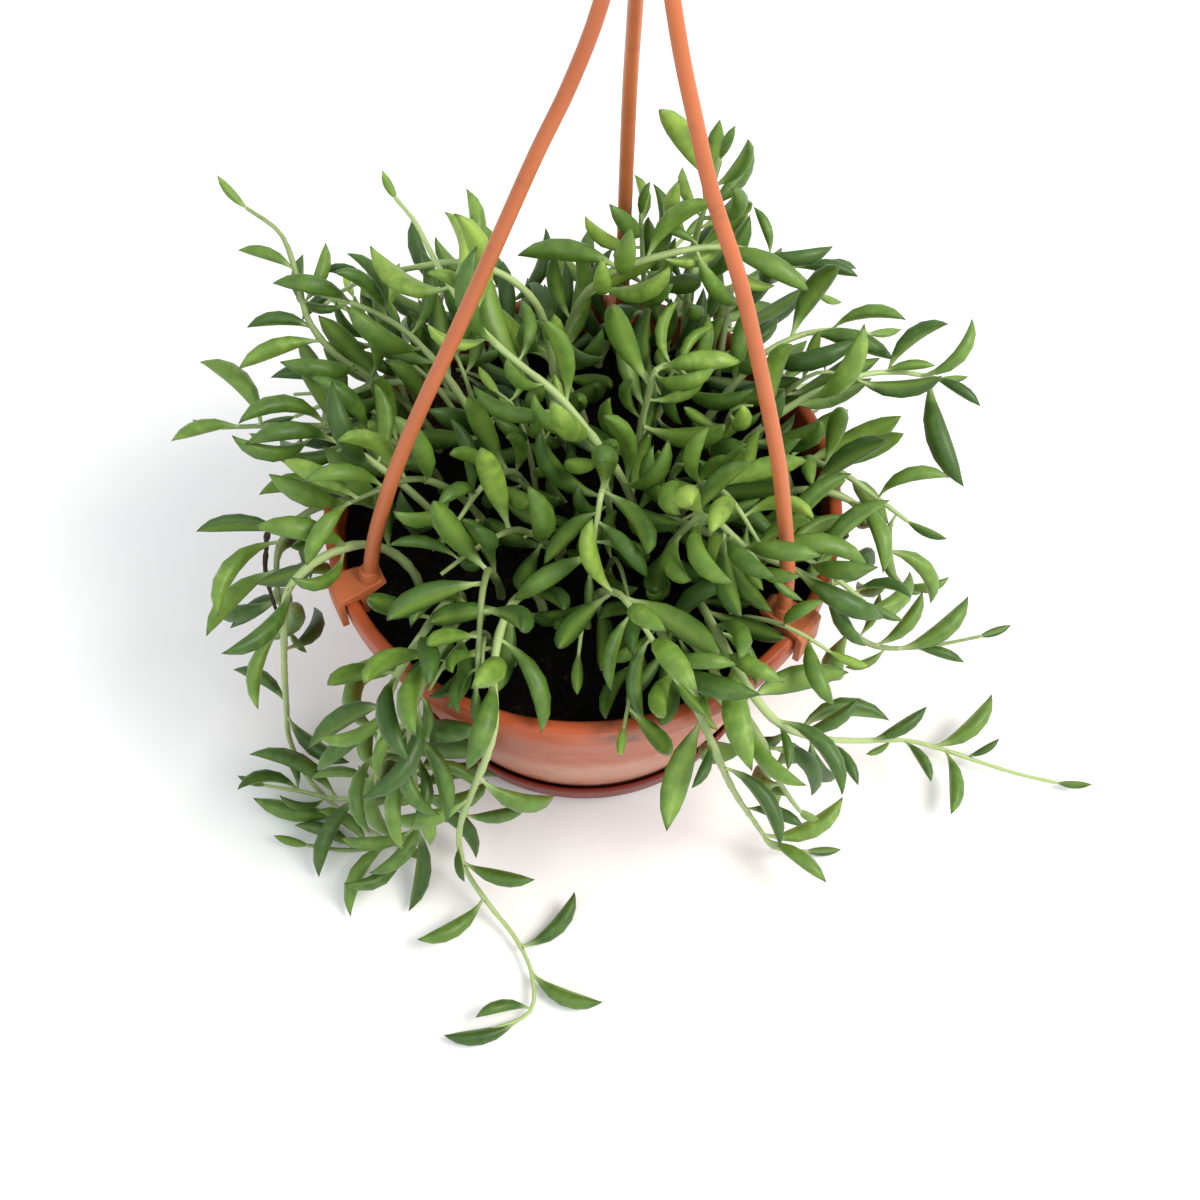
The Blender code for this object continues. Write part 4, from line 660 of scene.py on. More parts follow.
def hook_route():
    """The hook's centre line: up out of the hub, then round an open ring above it."""
    x, y, z = HUB_CENTRE
    neck_side, neck_rise = HOOK_NECK_TURN
    route = [(x, y, z), (x, y, z + HOOK_NECK_HEIGHT), (x + neck_side, y, z + neck_rise)]
    for degrees in np.linspace(HOOK_START_DEGREES, HOOK_END_DEGREES, HOOK_STEPS + 1):
        angle = math.radians(degrees)
        side = HOOK_RADIUS * math.cos(angle)
        route.append((x + side, y, z + HOOK_RISE + HOOK_RADIUS * math.sin(angle)))
    return route


def wall_gap(points):
    """Gap from each point to the pot and saucer, and the way off them as (radius, height)."""
    radius = np.hypot(points[:, 0], points[:, 1])
    flat = np.column_stack([radius, points[:, 2]])
    best = np.full(len(points), np.inf)
    away = np.zeros((len(points), 2))
    for start, end, half in POT_SECTION:
        low = np.array(start)
        along = np.array(end) - low
        share = np.clip(((flat - low) @ along) / (along @ along), 0.0, 1.0)
        offset = flat - (low + share[:, None] * along)
        distance = np.linalg.norm(offset, axis=1)
        nearer = distance - half < best
        best = np.where(nearer, distance - half, best)
        away[nearer] = offset[nearer] / distance[nearer][:, None]
    return best, away, radius


def soil_tops(points):
    """Soil height under each point, or far below it where the point is outside the pot."""
    x, y, z = points.T
    inside = (np.hypot(x, y) < INSIDE_RADIUS) & (z > INSIDE_LEVEL)
    return np.where(inside, soil_height(x, y), NOWHERE)


def hanger_balls():
    """Balls that fill the hanger's arms and clips, as centres and radii."""
    centres = []
    radii = []
    for azimuth, route in ARMS:
        centres.extend(smooth_route(route, ARM_GUARD_POINTS))
        radii.extend([ARM_GUARD_RADIUS] * ARM_GUARD_POINTS)
        angle = math.radians(azimuth)
        for reach in CLIP_GUARD_REACHES:
            levels = CLIP_GUARD_LEVELS if reach > CLIP_GUARD_LEG_REACH else CLIP_GUARD_LEVELS[:1]
            for side in CLIP_GUARD_SIDES:
                x = reach * math.cos(angle) - side * math.sin(angle)
                y = reach * math.sin(angle) + side * math.cos(angle)
                centres.extend((x, y, level) for level in levels)
                radii.extend([CLIP_GUARD_RADIUS] * len(levels))
    return np.array(centres), np.array(radii)


def bush_routes():
    """Short arching stems, rooted on a spiral and leaning away from the plant's middle."""
    draw = np.random.default_rng(BUSH_SEED)
    routes = []
    for k in range(BUSH_PLACES):
        share = math.sqrt((k + 0.5) / BUSH_PLACES)
        angle = k * GOLDEN_ANGLE
        x = BUSH_CENTRE[0] + BUSH_RADIUS * share * math.cos(angle)
        y = BUSH_CENTRE[1] + BUSH_RADIUS * share * math.sin(angle)
        if any(math.dist((x, y), route[0][:2]) < ROOTS_APART for route in TRAILING_ROUTES):
            continue
        lean = angle + draw.uniform(-BUSH_LEAN_CHANGE, BUSH_LEAN_CHANGE)
        height = draw.uniform(*BUSH_HEIGHT) - BUSH_EDGE_LOSS * share
        height *= BUSH_BACK_SHARE if y > BUSH_BACK_START else 1.0
        reach = BUSH_REACH + draw.uniform(*BUSH_EDGE_REACH) * share
        drop = height * draw.uniform(*BUSH_DROP)
        route = []
        for t in BUSH_SHARES:
            out = reach * t ** BUSH_OUTWARD_POWER
            rise = height * math.sin(min(t / BUSH_PEAK, 1.0) * math.pi * 0.5)
            fall = drop * max(0.0, (t - BUSH_TURN) / (1.0 - BUSH_TURN))
            place = (x + out * math.cos(lean), y + out * math.sin(lean), SOIL_LEVEL + rise - fall)
            route.append(place)
        routes.append(tuple(route))
    return routes


def stem_points():
    """Every stem's points, a step apart, with a straight foot that stands in its hole."""
    stems = []
    for route in (*TRAILING_ROUTES, *bush_routes()):
        x, y, _ = route[0]
        ground = soil_height(x, y)
        free = [(x, y, ground + COLLAR_HEIGHT), *route[1:]]
        length = sum(math.dist(a, b) for a, b in zip(free, free[1:]))
        count = max(FEWEST_STEM_POINTS, round(length / STEM_STEP) + 1)
        foot = np.array([[x, y, ground - ROOT_DEPTH]])
        stems.append(np.vstack([foot, smooth_route(free, count)]))
    return stems


def dense_weights(stems, first):
    """How test points between each stem's points are read from them, and whose each one is."""
    rows = []
    owners = []
    for index, stem in enumerate(stems):
        for segment in range(1, len(stem) - 1):
            low = first[index] + segment
            rows.extend((low, low + 1, share) for share in SEGMENT_SHARES)
            owners.extend([index] * len(SEGMENT_SHARES))
        rows.append((first[index + 1] - 2, first[index + 1] - 1, 1.0))
        owners.append(index)
    spread = np.zeros((len(rows), first[-1]))
    for row, (low, high, share) in enumerate(rows):
        spread[row, low] = 1.0 - share
        spread[row, high] = share
    return spread, np.array(owners)


def settle_stems(stems):
    """Push stems apart and off the pot, soil, surface and hanger, keeping their curves smooth."""
    first = np.cumsum([0] + [len(stem) for stem in stems])
    start = np.vstack(stems)
    spread, owners = dense_weights(stems, first)
    gather = spread.T / np.maximum(spread.sum(axis=0), SMALLEST_BALL)[:, None]
    fixed = np.zeros(len(start), dtype=bool)
    for low in first[:-1]:
        fixed[low:low + 2] = True
    guards = hanger_balls()
    points = start.copy()
    for round_number in range(SETTLE_ROUNDS):
        dense = spread @ points
        push = crossing_push(dense, owners) + obstacle_push(dense, *guards)
        points = points + SETTLE_RATE * (gather @ push)
        points[fixed] = start[fixed]
        if round_number < SETTLE_ROUNDS - UNEASED_ROUNDS:
            points = ease_moves(points, start, first, fixed)
    return [points[low:high] for low, high in zip(first, first[1:])]


def crossing_push(dense, owners):
    """Moves that take stems apart where two of them come too close."""
    squares = (dense ** 2).sum(axis=1)
    gaps = squares[:, None] + squares[None, :] - 2.0 * dense @ dense.T
    close = (gaps < STEM_APART ** 2) & (owners[:, None] < owners[None, :])
    a, b = np.nonzero(close)
    offset = dense[a] - dense[b]
    distance = np.linalg.norm(offset, axis=1)
    step = 0.5 * (STEM_APART / distance - 1.0)[:, None] * offset
    push = np.zeros_like(dense)
    np.add.at(push, a, step)
    np.add.at(push, b, -step)
    return push


def obstacle_push(dense, guard_centres, guard_radii):
    """Moves that take stems off the pot, the soil, the surface and the hanger."""
    push = np.zeros_like(dense)
    gap, away, radius = wall_gap(dense)
    short = np.maximum(STEM_GUARD - gap, 0.0)
    outward = dense[:, :2] / radius[:, None]
    push[:, :2] += outward * (short * away[:, 0])[:, None]
    push[:, 2] += short * away[:, 1]
    push[:, 2] += np.maximum(FLOOR_GUARD - dense[:, 2], 0.0)
    push[:, 2] += np.maximum(STEM_GUARD + soil_tops(dense) - dense[:, 2], 0.0)
    offset = dense[:, None, :] - guard_centres[None, :, :]
    distance = np.linalg.norm(offset, axis=2)
    needed = np.maximum(guard_radii[None, :] + STEM_GUARD - distance, 0.0)
    each = np.arange(len(dense))
    nearest = needed.argmax(axis=1)
    strength = needed[each, nearest] / distance[each, nearest]
    return push + strength[:, None] * offset[each, nearest]


def ease_moves(points, start, first, fixed):
    """Share each point's move with its neighbours, so that a stem bends and doesn't kink."""
    shift = points - start
    eased = shift.copy()
    for low, high in zip(first, first[1:]):
        inner = slice(low + 1, high - 1)
        neighbours = shift[low:high - 2] + shift[low + 2:high]
        eased[inner] = 0.5 * shift[inner] + 0.25 * neighbours
    eased[fixed] = 0.0
    return start + eased


class Leaf:
    """A banana-shaped leaf: an arc from its root on the stem, with a width and a depth."""

    def __init__(self, root, along, bend_to, length, width, depth, bend):
        self.root = np.array(root)
        self.along = unit(along)
        self.bend_to = unit(bend_to - self.along * float(bend_to @ self.along))
        self.across = np.cross(self.along, self.bend_to)
        self.length = length
        self.width = width
        self.depth = depth
        self.bend = bend
        self.freshness = 0.0

    def centres(self, shares):
        """Points of the midrib at shares of the leaf's length."""
        turns = self.bend * np.asarray(shares)
        reach = self.length / self.bend
        forward = np.sin(turns) * reach
        sideways = (1.0 - np.cos(turns)) * reach
        return self.root + forward[:, None] * self.along + sideways[:, None] * self.bend_to

    def ups(self, shares):
        """Directions across the leaf's depth at shares of its length."""
        turns = self.bend * np.asarray(shares)
        return np.cos(turns)[:, None] * self.bend_to - np.sin(turns)[:, None] * self.along

    def balls(self):
        """Balls that fill the leaf, as centres and radii."""
        shares, widths = zip(*LEAF_STATIONS)
        half = 0.5 * self.width * SECTION_OVERSIZE
        radii = np.interp(BALL_SHARES, shares, widths) * half
        return self.centres(BALL_SHARES), np.maximum(radii, SMALLEST_BALL)

    def lowest(self):
        """Height of the leaf's lowest point."""
        centres, radii = self.balls()
        flatness = self.depth / self.width
        reach = np.hypot(self.across[2], flatness * self.ups(BALL_SHARES)[:, 2])
        return float((centres[:, 2] - radii * reach).min())


class Crowd:
    """What already takes up room: balls of the hanger, the stems and the leaves set so far."""

    def __init__(self, stems):
        self.centres, self.radii = hanger_balls()
        self.owners = np.full(len(self.radii), HANGER_OWNER)
        for index, stem in enumerate(stems):
            self.add_stem(index, stem, STEM_BALL_RADIUS)

    def add(self, centres, radii, owner):
        """Take up room for more balls."""
        self.centres = np.vstack([self.centres, centres])
        self.radii = np.concatenate([self.radii, radii])
        self.owners = np.concatenate([self.owners, np.full(len(radii), owner)])

    def add_stem(self, index, stem, radius):
        """Take up room for a stem."""
        dense = points_between(stem, STEM_BALL_SHARES)
        self.add(dense, np.full(len(dense), radius), STEM_OWNER + index)

    def add_leaf(self, index, leaf, leaves):
        """Take up room for a leaf and put it with its stem's leaves."""
        self.add(*leaf.balls(), index)
        leaves.append(leaf)

    def has_room(self, index, leaf):
        """Whether a leaf stays clear of all but the roots of its own stem's leaves."""
        centres, radii = leaf.balls()
        if leaf.lowest() < CLEARANCE:
            return False
        if (centres[:, 2] - radii - soil_tops(centres) < LEAF_GAP).any():
            return False
        gap, _, _ = wall_gap(centres)
        if (gap - radii < LEAF_GAP).any():
            return False
        near = np.linalg.norm(self.centres - centres.mean(axis=0), axis=1) < leaf.length
        owners = self.owners[near]
        offset = np.linalg.norm(centres[:, None, :] - self.centres[near][None, :, :], axis=2)
        free = offset - radii[:, None] - self.radii[near][None, :] - LEAF_GAP
        free[:OWN_STEM_BALLS, owners == STEM_OWNER + index] = 1.0
        free[:ROOT_BALLS, owners == index] = 1.0
        return bool((free > 0.0).all())


def frame_at(stem, distance):
    """Place and direction on a stem at a distance from the top of its straight foot."""
    path = stem[1:]
    travelled = distances_along(path)
    index = int(np.clip(np.searchsorted(travelled, distance) - 1, 0, len(path) - 2))
    share = (distance - travelled[index]) / (travelled[index + 1] - travelled[index])
    place = path[index] + (path[index + 1] - path[index]) * share
    before = path[max(index - 1, 0)]
    after = path[min(index + 2, len(path) - 1)]
    return place, unit(after - before)


def leaf_on(stem, distance, turn, length, opening, bend, curl):
    """A leaf that leaves its stem at a distance and a turn round it, and curls to a side."""
    place, tangent = frame_at(stem, distance)
    side = unit(np.cross(tangent, SKEW_UP))
    other = np.cross(tangent, side)
    outward = side * math.cos(turn) + other * math.sin(turn)
    along = tangent * math.cos(opening) + outward * math.sin(opening)
    wish = CURL_ALONG * tangent + CURL_SIDE * curl * np.cross(tangent, outward)
    wish[2] += CURL_UP
    return Leaf(place, along, wish, length, length * LEAF_WIDTH_RATIO, length * LEAF_DEPTH_RATIO, bend)


def leaf_at_tip(stem, draw):
    """The young leaf that carries on a stem's end."""
    tangent = unit(stem[-1] - stem[-2])
    length = draw.uniform(*TIP_LEAF_LENGTH)
    root = stem[-1] - tangent * TIP_LEAF_OVERLAP
    width = length * TIP_LEAF_WIDTH_RATIO
    depth = length * TIP_LEAF_DEPTH_RATIO
    wish = np.array(SKEW_UP)
    return Leaf(root, tangent, wish, length, width, depth, math.radians(TIP_LEAF_BEND_DEGREES))


def placed_leaf(stem, start, end, bend_to, degrees):
    """A leaf between two places, with its root moved onto its stem."""
    bend = math.radians(degrees)
    path = smooth_route(stem[1:], CURVE_STEPS * len(stem))
    root = path[np.linalg.norm(path - np.array(start), axis=1).argmin()]
    reach = np.linalg.norm(np.array(end) - root)
    straight = (np.array(end) - root) / reach
    side = unit(bend_to - straight * float(np.dot(bend_to, straight)))
    along = straight * math.cos(0.5 * bend) - side * math.sin(0.5 * bend)
    length = reach * 0.5 * bend / math.sin(0.5 * bend)
    return Leaf(root, along, side, length, length * LEAF_WIDTH_RATIO, length * LEAF_DEPTH_RATIO, bend)


def set_by_hand(crowd, stems, leaves, index, start, end, bend_to, degrees):
    """Set one listed leaf, lifted or lowered until it has room."""
    for lift in LIFT_TRIES:
        tip = (end[0], end[1], end[2] + lift)
        leaf = placed_leaf(stems[index], start, tip, np.array(bend_to), degrees)
        if crowd.has_room(index, leaf):
            crowd.add_leaf(index, leaf, leaves)
            return


def placed_leaves(crowd, stems):
    """The listed leaves, stem by stem."""
    found = [[] for _ in stems]
    for placement in PLACED_LEAVES:
        set_by_hand(crowd, stems, found[placement[0]], *placement)
    return found


def first_that_fits(crowd, index, stem, distance, turn, length, opening, bend, curl):
    """The first of several like leaves that has room, or nothing."""
    for size in SIZE_TRIES:
        for change in TURN_TRIES:
            leaf = leaf_on(stem, distance, turn + change, length * size, opening, bend, curl)
            if crowd.has_room(index, leaf):
                return leaf
    return None


def last_place(index, stem):
    """Distance up a stem at which its spiral of leaves ends."""
    end = distances_along(stem[1:])[-1]
    return min(end - LAST_LEAF_FROM_TIP, end * SPIRAL_SHARES.get(index, 1.0))


def draw_shape(draw, openings, lengths):
    """A leaf's opening, bend, curl and length, drawn at random."""
    opening = math.radians(draw.uniform(*openings))
    bend = math.radians(draw.uniform(*LEAF_BEND_DEGREES))
    return opening, bend, draw.uniform(-1.0, 1.0), draw.uniform(*lengths)


def set_tip_leaf(crowd, index, stem, leaves, freshness, draw):
    """Carry on a stem's end with a young leaf, where it has room."""
    leaf = leaf_at_tip(stem, draw)
    if crowd.has_room(index, leaf):
        leaf.freshness = freshness
        crowd.add_leaf(index, leaf, leaves)


def leaves_of_stem(crowd, index, stem, placed):
    """The listed leaves, then others in a spiral, each turned or shortened until it has room."""
    draw = np.random.default_rng(LEAF_SEED + index)
    trailing = index < len(TRAILING_ROUTES)
    spacing = TRAILING_LEAF_SPACING if trailing else BUSH_LEAF_SPACING
    openings = LEAF_OPENING_DEGREES if trailing else BUSH_OPENING_DEGREES
    spacing = ARCH_LEAF_SPACING if index in ARCHES else spacing
    end = distances_along(stem[1:])[-1]
    leaves = list(placed)
    set_tip_leaf(crowd, index, stem, leaves, 0.0, draw)
    turn = draw.uniform(0.0, FULL_TURN)
    distance = draw.uniform(*FIRST_LEAF_HEIGHT)
    last = last_place(index, stem)
    while distance < last:
        turn += GOLDEN_ANGLE + draw.uniform(-TURN_CHANGE, TURN_CHANGE)
        opening, bend, curl, length = draw_shape(draw, openings, LEAF_LENGTH)
        youth = max(0.0, 1.0 - (end - distance) / YOUNG_STRETCH)
        length *= 1.0 - YOUNG_LOSS * youth
        leaf = first_that_fits(crowd, index, stem, distance, turn, length, opening, bend, curl)
        if leaf:
            crowd.add_leaf(index, leaf, leaves)
        distance += spacing * draw.uniform(*SPACING_CHANGE)
    return leaves


# Modelling by hand


def deselect():
    """Leave nothing selected, so that an operator acts only on what is made next."""
    bpy.ops.object.select_all(action="DESELECT")


def metres(place):
    """A place in metres."""
    return [value * MM for value in place]


def new_object(name, data):
    """A new object in the scene."""
    item = bpy.data.objects.new(name, data)
    bpy.context.scene.collection.objects.link(item)
    return item


def pick(item):
    """Select one object alone and make it the active one."""
    deselect()
    item.select_set(True)
    bpy.context.view_layer.objects.active = item


def edit(item):
    """Open an object for editing with everything in it selected."""
    pick(item)
    bpy.ops.object.mode_set(mode="EDIT")
    bpy.ops.mesh.select_all(action="SELECT")


def close_edit():
    """Point all faces outward and leave edit mode."""
    bpy.ops.mesh.select_all(action="SELECT")
    bpy.ops.mesh.normals_make_consistent(inside=False)
    bpy.ops.object.mode_set(mode="OBJECT")


def settle_place(item):
    """Put the object's place in its mesh, with its origin at the frame's own."""
    pick(item)
    bpy.ops.object.transform_apply(location=True, rotation=True, scale=True)


def smooth(item, degrees=SMOOTH_DEGREES):
    """Shade round surfaces smooth and keep true edges sharp."""
    pick(item)
    bpy.ops.object.shade_smooth_by_angle(angle=math.radians(degrees))


def apply_modifiers(item):
    """Apply the object's modifiers in their order."""
    pick(item)
    for modifier in list(item.modifiers):
        bpy.ops.object.modifier_apply(modifier=modifier.name)


def bevel(item, width):
    """Round the object's sharp edges."""
    rounding = item.modifiers.new("rounding", "BEVEL")
    rounding.width = width * MM
    rounding.segments = BEVEL_SEGMENTS
    rounding.limit_method = "ANGLE"
    rounding.angle_limit = math.radians(BEVEL_DEGREES)
    rounding.use_clamp_overlap = True
    apply_modifiers(item)


def turn_from_ring(name, profile, sides):
    """Extrude a ring up and down a (radius, height) profile, as a potter draws a wall."""
    deselect()
    radius, height = profile[0]
    bpy.ops.mesh.primitive_circle_add(vertices=sides, radius=radius * MM, location=(0, 0, height * MM))
    item = bpy.context.object
    item.name = name
    edit(item)
    for (r0, z0), (r1, z1) in zip(profile, profile[1:]):
        rise = (0.0, 0.0, (z1 - z0) * MM)
        bpy.ops.mesh.extrude_edges_move(TRANSFORM_OT_translate={"value": rise})
        bpy.ops.transform.resize(value=(r1 / r0, r1 / r0, 1.0), center_override=(0.0, 0.0, z1 * MM))
    bpy.ops.mesh.select_all(action="SELECT")
    bpy.ops.mesh.fill_holes(sides=0)
    close_edit()
    settle_place(item)
    return item


def rod(name, points, radii, roundness):
    """A round rod along a route, drawn as a path with a bevel and then made a closed mesh."""
    deselect()
    bpy.ops.curve.primitive_nurbs_path_add()
    item = bpy.context.object
    item.name = name
    path = item.data
    path.splines.clear()
    path.bevel_depth = MM
    path.bevel_resolution = roundness
    path.use_fill_caps = True
    spline = path.splines.new("POLY")
    spline.points.add(len(points) - 1)
    for knot, place, radius in zip(spline.points, points, radii):
        knot.co = (*metres(place), 1.0)
        knot.radius = radius
    bpy.ops.object.convert(target="MESH")
    edit(item)
    bpy.ops.mesh.remove_doubles(threshold=MERGE_DISTANCE)
    close_edit()
    return item


def combine(base, items, operation):
    """Fuse the items to the base (UNION) or cut them out of it (DIFFERENCE) at once, and remove them."""
    group = bpy.data.collections.new(base.name + "_parts")
    bpy.context.scene.collection.children.link(group)
    for item in items:
        for home in list(item.users_collection):
            home.objects.unlink(item)
        group.objects.link(item)
    boolean = base.modifiers.new("boolean", "BOOLEAN")
    boolean.operation = operation
    boolean.operand_type = "COLLECTION"
    boolean.collection = group
    boolean.solver = "MANIFOLD"
    apply_modifiers(base)
    for item in list(group.objects):
        bpy.data.objects.remove(item, do_unlink=True)
    bpy.data.collections.remove(group)


def hand_in(piece, slot, material, *nodes):
    """Give a finished piece its material and body, and hide the solids it stands for."""
    piece.data.materials.clear()
    piece.data.materials.append(material)
    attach(piece, "root")
    if nodes:
        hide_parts(*nodes)


# Pot, saucer and hanger


def lip_arc(radius, height, start, end):
    """Points of a quarter round of the lip, between two angles in degrees."""
    points = []
    for degrees in np.linspace(start, end, LIP_ARC_STEPS):
        angle = math.radians(degrees)
        points.append((radius + LIP_ROUNDING * math.cos(angle), height + LIP_ROUNDING * math.sin(angle)))
    return points


def fine_pot_profile():
    """Half section of the pot, from the middle of its floor inside to the middle of its foot."""
    lip_inner = RIM_RADIUS - LIP_WIDTH
    lip_bottom = RIM_TOP - LIP_HEIGHT
    arc_height = RIM_TOP - LIP_ROUNDING
    inset, rise = LIP_EDGE
    inside = [(MIDDLE_RING, POT_FLOOR_TOP), (POT_FLOOR_RADIUS, POT_FLOOR_TOP)]
    inside += [(r - WALL, z) for r, z in reversed(POT_OUTLINE[1:])]
    lip = [(lip_inner, lip_bottom)]
    lip += lip_arc(lip_inner + LIP_ROUNDING, arc_height, 180.0, 90.0)
    lip += lip_arc(RIM_RADIUS - LIP_ROUNDING, arc_height, 90.0, 0.0)
    lip += [(RIM_RADIUS, lip_bottom + LIP_ROUNDING), (RIM_RADIUS - inset, lip_bottom + rise)]
    foot = [
        (POT_FOOT_RADIUS + LIP_ROUNDING, POT_BOTTOM + WALL * 0.5),
        (POT_FOOT_RADIUS, POT_BOTTOM),
        (MIDDLE_RING, POT_BOTTOM),
    ]
    return inside + lip + list(POT_OUTLINE) + foot


def make_pot(material):
    """The pot with its rolled lip and drain holes."""
    pot = turn_from_ring("pot_shell", fine_pot_profile(), TURNED_SIDES)
    drills = []
    for number in range(DRAIN_HOLE_COUNT):
        angle = FULL_TURN * (number + 0.5) / DRAIN_HOLE_COUNT
        place = metres((DRAIN_HOLE_RING * math.cos(angle), DRAIN_HOLE_RING * math.sin(angle), 0.0))
        deselect()
        bpy.ops.mesh.primitive_cylinder_add(radius=DRAIN_HOLE_RADIUS * MM, depth=DRILL_LENGTH * MM,
                                            location=place)
        drills.append(bpy.context.object)
    combine(pot, drills, "DIFFERENCE")
    smooth(pot)
    hand_in(pot, "pot", material, "pot")


def make_saucer(material):
    """The shallow saucer with a rounded edge."""
    wall_middle = SAUCER_RIM_RADIUS - SAUCER_WALL * 0.5
    inset, rise = SAUCER_INNER_EDGE
    inner_side, outer_side = SAUCER_TOP_SIDES
    profile = [
        (MIDDLE_RING, SAUCER_WALL),
        (SAUCER_FLOOR_RADIUS - SAUCER_ROUNDING, SAUCER_WALL),
        (SAUCER_FLOOR_RADIUS - inset, SAUCER_WALL + rise),
        (SAUCER_RIM_RADIUS - SAUCER_WALL, SAUCER_HEIGHT - SAUCER_ROUNDING),
        (wall_middle - inner_side, SAUCER_HEIGHT - SAUCER_TOP_DROP),
        (wall_middle, SAUCER_HEIGHT),
        (wall_middle + outer_side, SAUCER_HEIGHT - SAUCER_TOP_DROP),
        (SAUCER_RIM_RADIUS, SAUCER_HEIGHT - SAUCER_ROUNDING),
        (SAUCER_RIM_RADIUS, SAUCER_HEIGHT - SAUCER_WALL),
        (SAUCER_FLOOR_RADIUS + SAUCER_ROUNDING, SAUCER_ROUNDING),
        (SAUCER_FLOOR_RADIUS, SAUCER_FOOT_RISE),
        (SAUCER_FLOOR_RADIUS - SAUCER_ROUNDING, 0.0),
        (MIDDLE_RING, 0.0),
    ]
    saucer = turn_from_ring("saucer_shell", profile, TURNED_SIDES)
    smooth(saucer)
    hand_in(saucer, "saucer", material, "saucer")


def make_fine_clip(azimuth):
    """A clip: a ring of corners moved to its side view, filled, extruded to width and rounded."""
    outline = clip_outline()
    deselect()
    bpy.ops.mesh.primitive_circle_add(vertices=len(outline), radius=MM, fill_type="NGON")
    clip = bpy.context.object
    half = CLIP_WIDTH * 0.5
    for corner, (radius, height) in zip(clip.data.vertices, outline):
        corner.co = metres((radius, half, height))
    edit(clip)
    width = (0.0, -CLIP_WIDTH * MM, 0.0)
    bpy.ops.mesh.extrude_region_move(TRANSFORM_OT_translate={"value": width})
    close_edit()
    for corner in clip.data.vertices:
        if corner.co.x < (CLIP_INNER_REACH + CLIP_CHAMFER + CLEARANCE) * MM:
            corner.co.y *= CLIP_TOE_NARROWING
    bevel(clip, CLIP_BEVEL)
    clip.rotation_euler.z = math.radians(azimuth)
    settle_place(clip)
    return clip


def make_knob(place):
    """The flared collar round an arm's foot."""
    deselect()
    level = RIM_TOP + 2.0 * CLEARANCE + KNOB_HEIGHT * 0.5
    middle = metres((*place[:2], level))
    bpy.ops.mesh.primitive_cone_add(vertices=KNOB_SIDES, radius1=KNOB_RADIUS * MM, depth=KNOB_HEIGHT * MM,
                                    radius2=KNOB_TOP_RADIUS * MM, location=middle)
    knob = bpy.context.object
    settle_place(knob)
    bevel(knob, KNOB_BEVEL)
    return knob


def make_hanger(material):
    """The hanger: three bowed arms with clips, the hub and the open hook, in one piece."""
    deselect()
    bpy.ops.mesh.primitive_cylinder_add(vertices=HUB_SIDES, radius=HUB_RADIUS * MM, depth=HUB_HEIGHT * MM,
                                        location=metres(HUB_CENTRE))
    hub = bpy.context.object
    hub.name = "hanger_arms"
    settle_place(hub)
    bevel(hub, HUB_BEVEL)
    parts = []
    for azimuth, route in ARMS:
        points = smooth_route(route, ROD_POINTS)
        radii = np.linspace(ARM_FOOT_RADIUS, ARM_TOP_RADIUS, ROD_POINTS)
        parts.append(rod("arm", points, radii, ROD_ROUNDNESS))
        parts.append(make_fine_clip(azimuth))
        parts.append(make_knob(route[0]))
    hook = smooth_route(hook_route(), ROD_POINTS)
    parts.append(rod("hook", hook, [HOOK_WIRE_RADIUS] * ROD_POINTS, ROD_ROUNDNESS))
    combine(hub, parts, "UNION")
    smooth(hub)
    hand_in(hub, "hanger", material, "hanger")


# Soil


def soil_edge():
    """Radius of the soil's top, a little inside the pot's wall."""
    return inner_radius(SOIL_LEVEL - SOIL_UNEVENNESS) - CLEARANCE


def fine_soil_profile():
    """Half section of the soil: its bottom, its side and many rings across its top."""
    bottom = POT_FLOOR_TOP + CLEARANCE
    profile = [(MIDDLE_RING, bottom), (POT_FLOOR_RADIUS - CLEARANCE, bottom)]
    profile += [(inner_radius(z) - CLEARANCE, z) for z in reversed(SOIL_WALL_LEVELS)]
    profile += [(radius, SOIL_LEVEL) for radius in np.linspace(soil_edge(), MIDDLE_RING, SOIL_RINGS_FINE)]
    return profile


def crumble(x, y, draw):
    """Small uneven height of loose soil, in millimetres."""
    fine = draw.uniform(-LOOSE_GRAIN, LOOSE_GRAIN, len(x))
    height, x_step, y_step = LOOSE_RIPPLES
    ripples = height * np.sin(x_step * x - y_step * y)
    return fine + (crossed_waves(x, y, LOOSE_WAVES) + ripples)


def coordinates(mesh):
    """The mesh's points in millimetres."""
    flat = np.empty(3 * len(mesh.vertices))
    mesh.vertices.foreach_get("co", flat)
    return flat.reshape(-1, 3) / MM


def move_points(mesh, points):
    """Put the mesh's points at places in millimetres."""
    mesh.vertices.foreach_set("co", (points * MM).ravel())
    mesh.update()


def lump(name, flatness, draw):
    """A rough crumb of soil or bark: a small ball with its points pushed about."""
    deselect()
    bpy.ops.mesh.primitive_ico_sphere_add(subdivisions=2, radius=MM)
    item = bpy.context.object
    item.name = name
    points = coordinates(item.data)
    points *= draw.uniform(*LUMP_CHANGE, (len(points), 1))
    points[:, 2] *= flatness
    move_points(item.data, points)
    return item


def scatter(model, places, sizes, rise, draw):
    """Copies of a crumb, each with its own mesh, size and turn, partly sunk into the soil's top."""
    copies = []
    shape = coordinates(model.data)
    for (x, y), size in zip(places, sizes):
        turn = draw.uniform(0.0, FULL_TURN)
        tilt = draw.uniform(-LUMP_TILT, LUMP_TILT)
        across = np.array((math.cos(turn), math.sin(turn), 0.0))
        side = np.array((-math.sin(turn) * math.cos(tilt), math.cos(turn) * math.cos(tilt), math.sin(tilt)))
        up = np.cross(across, side)
        level = soil_height(x, y) + size * rise
        mesh = model.data.copy()
        placed = size * (shape @ np.vstack([across, side, up])) + np.array((x, y, level))
        move_points(mesh, placed)
        copies.append(new_object(model.name, mesh))
    return copies


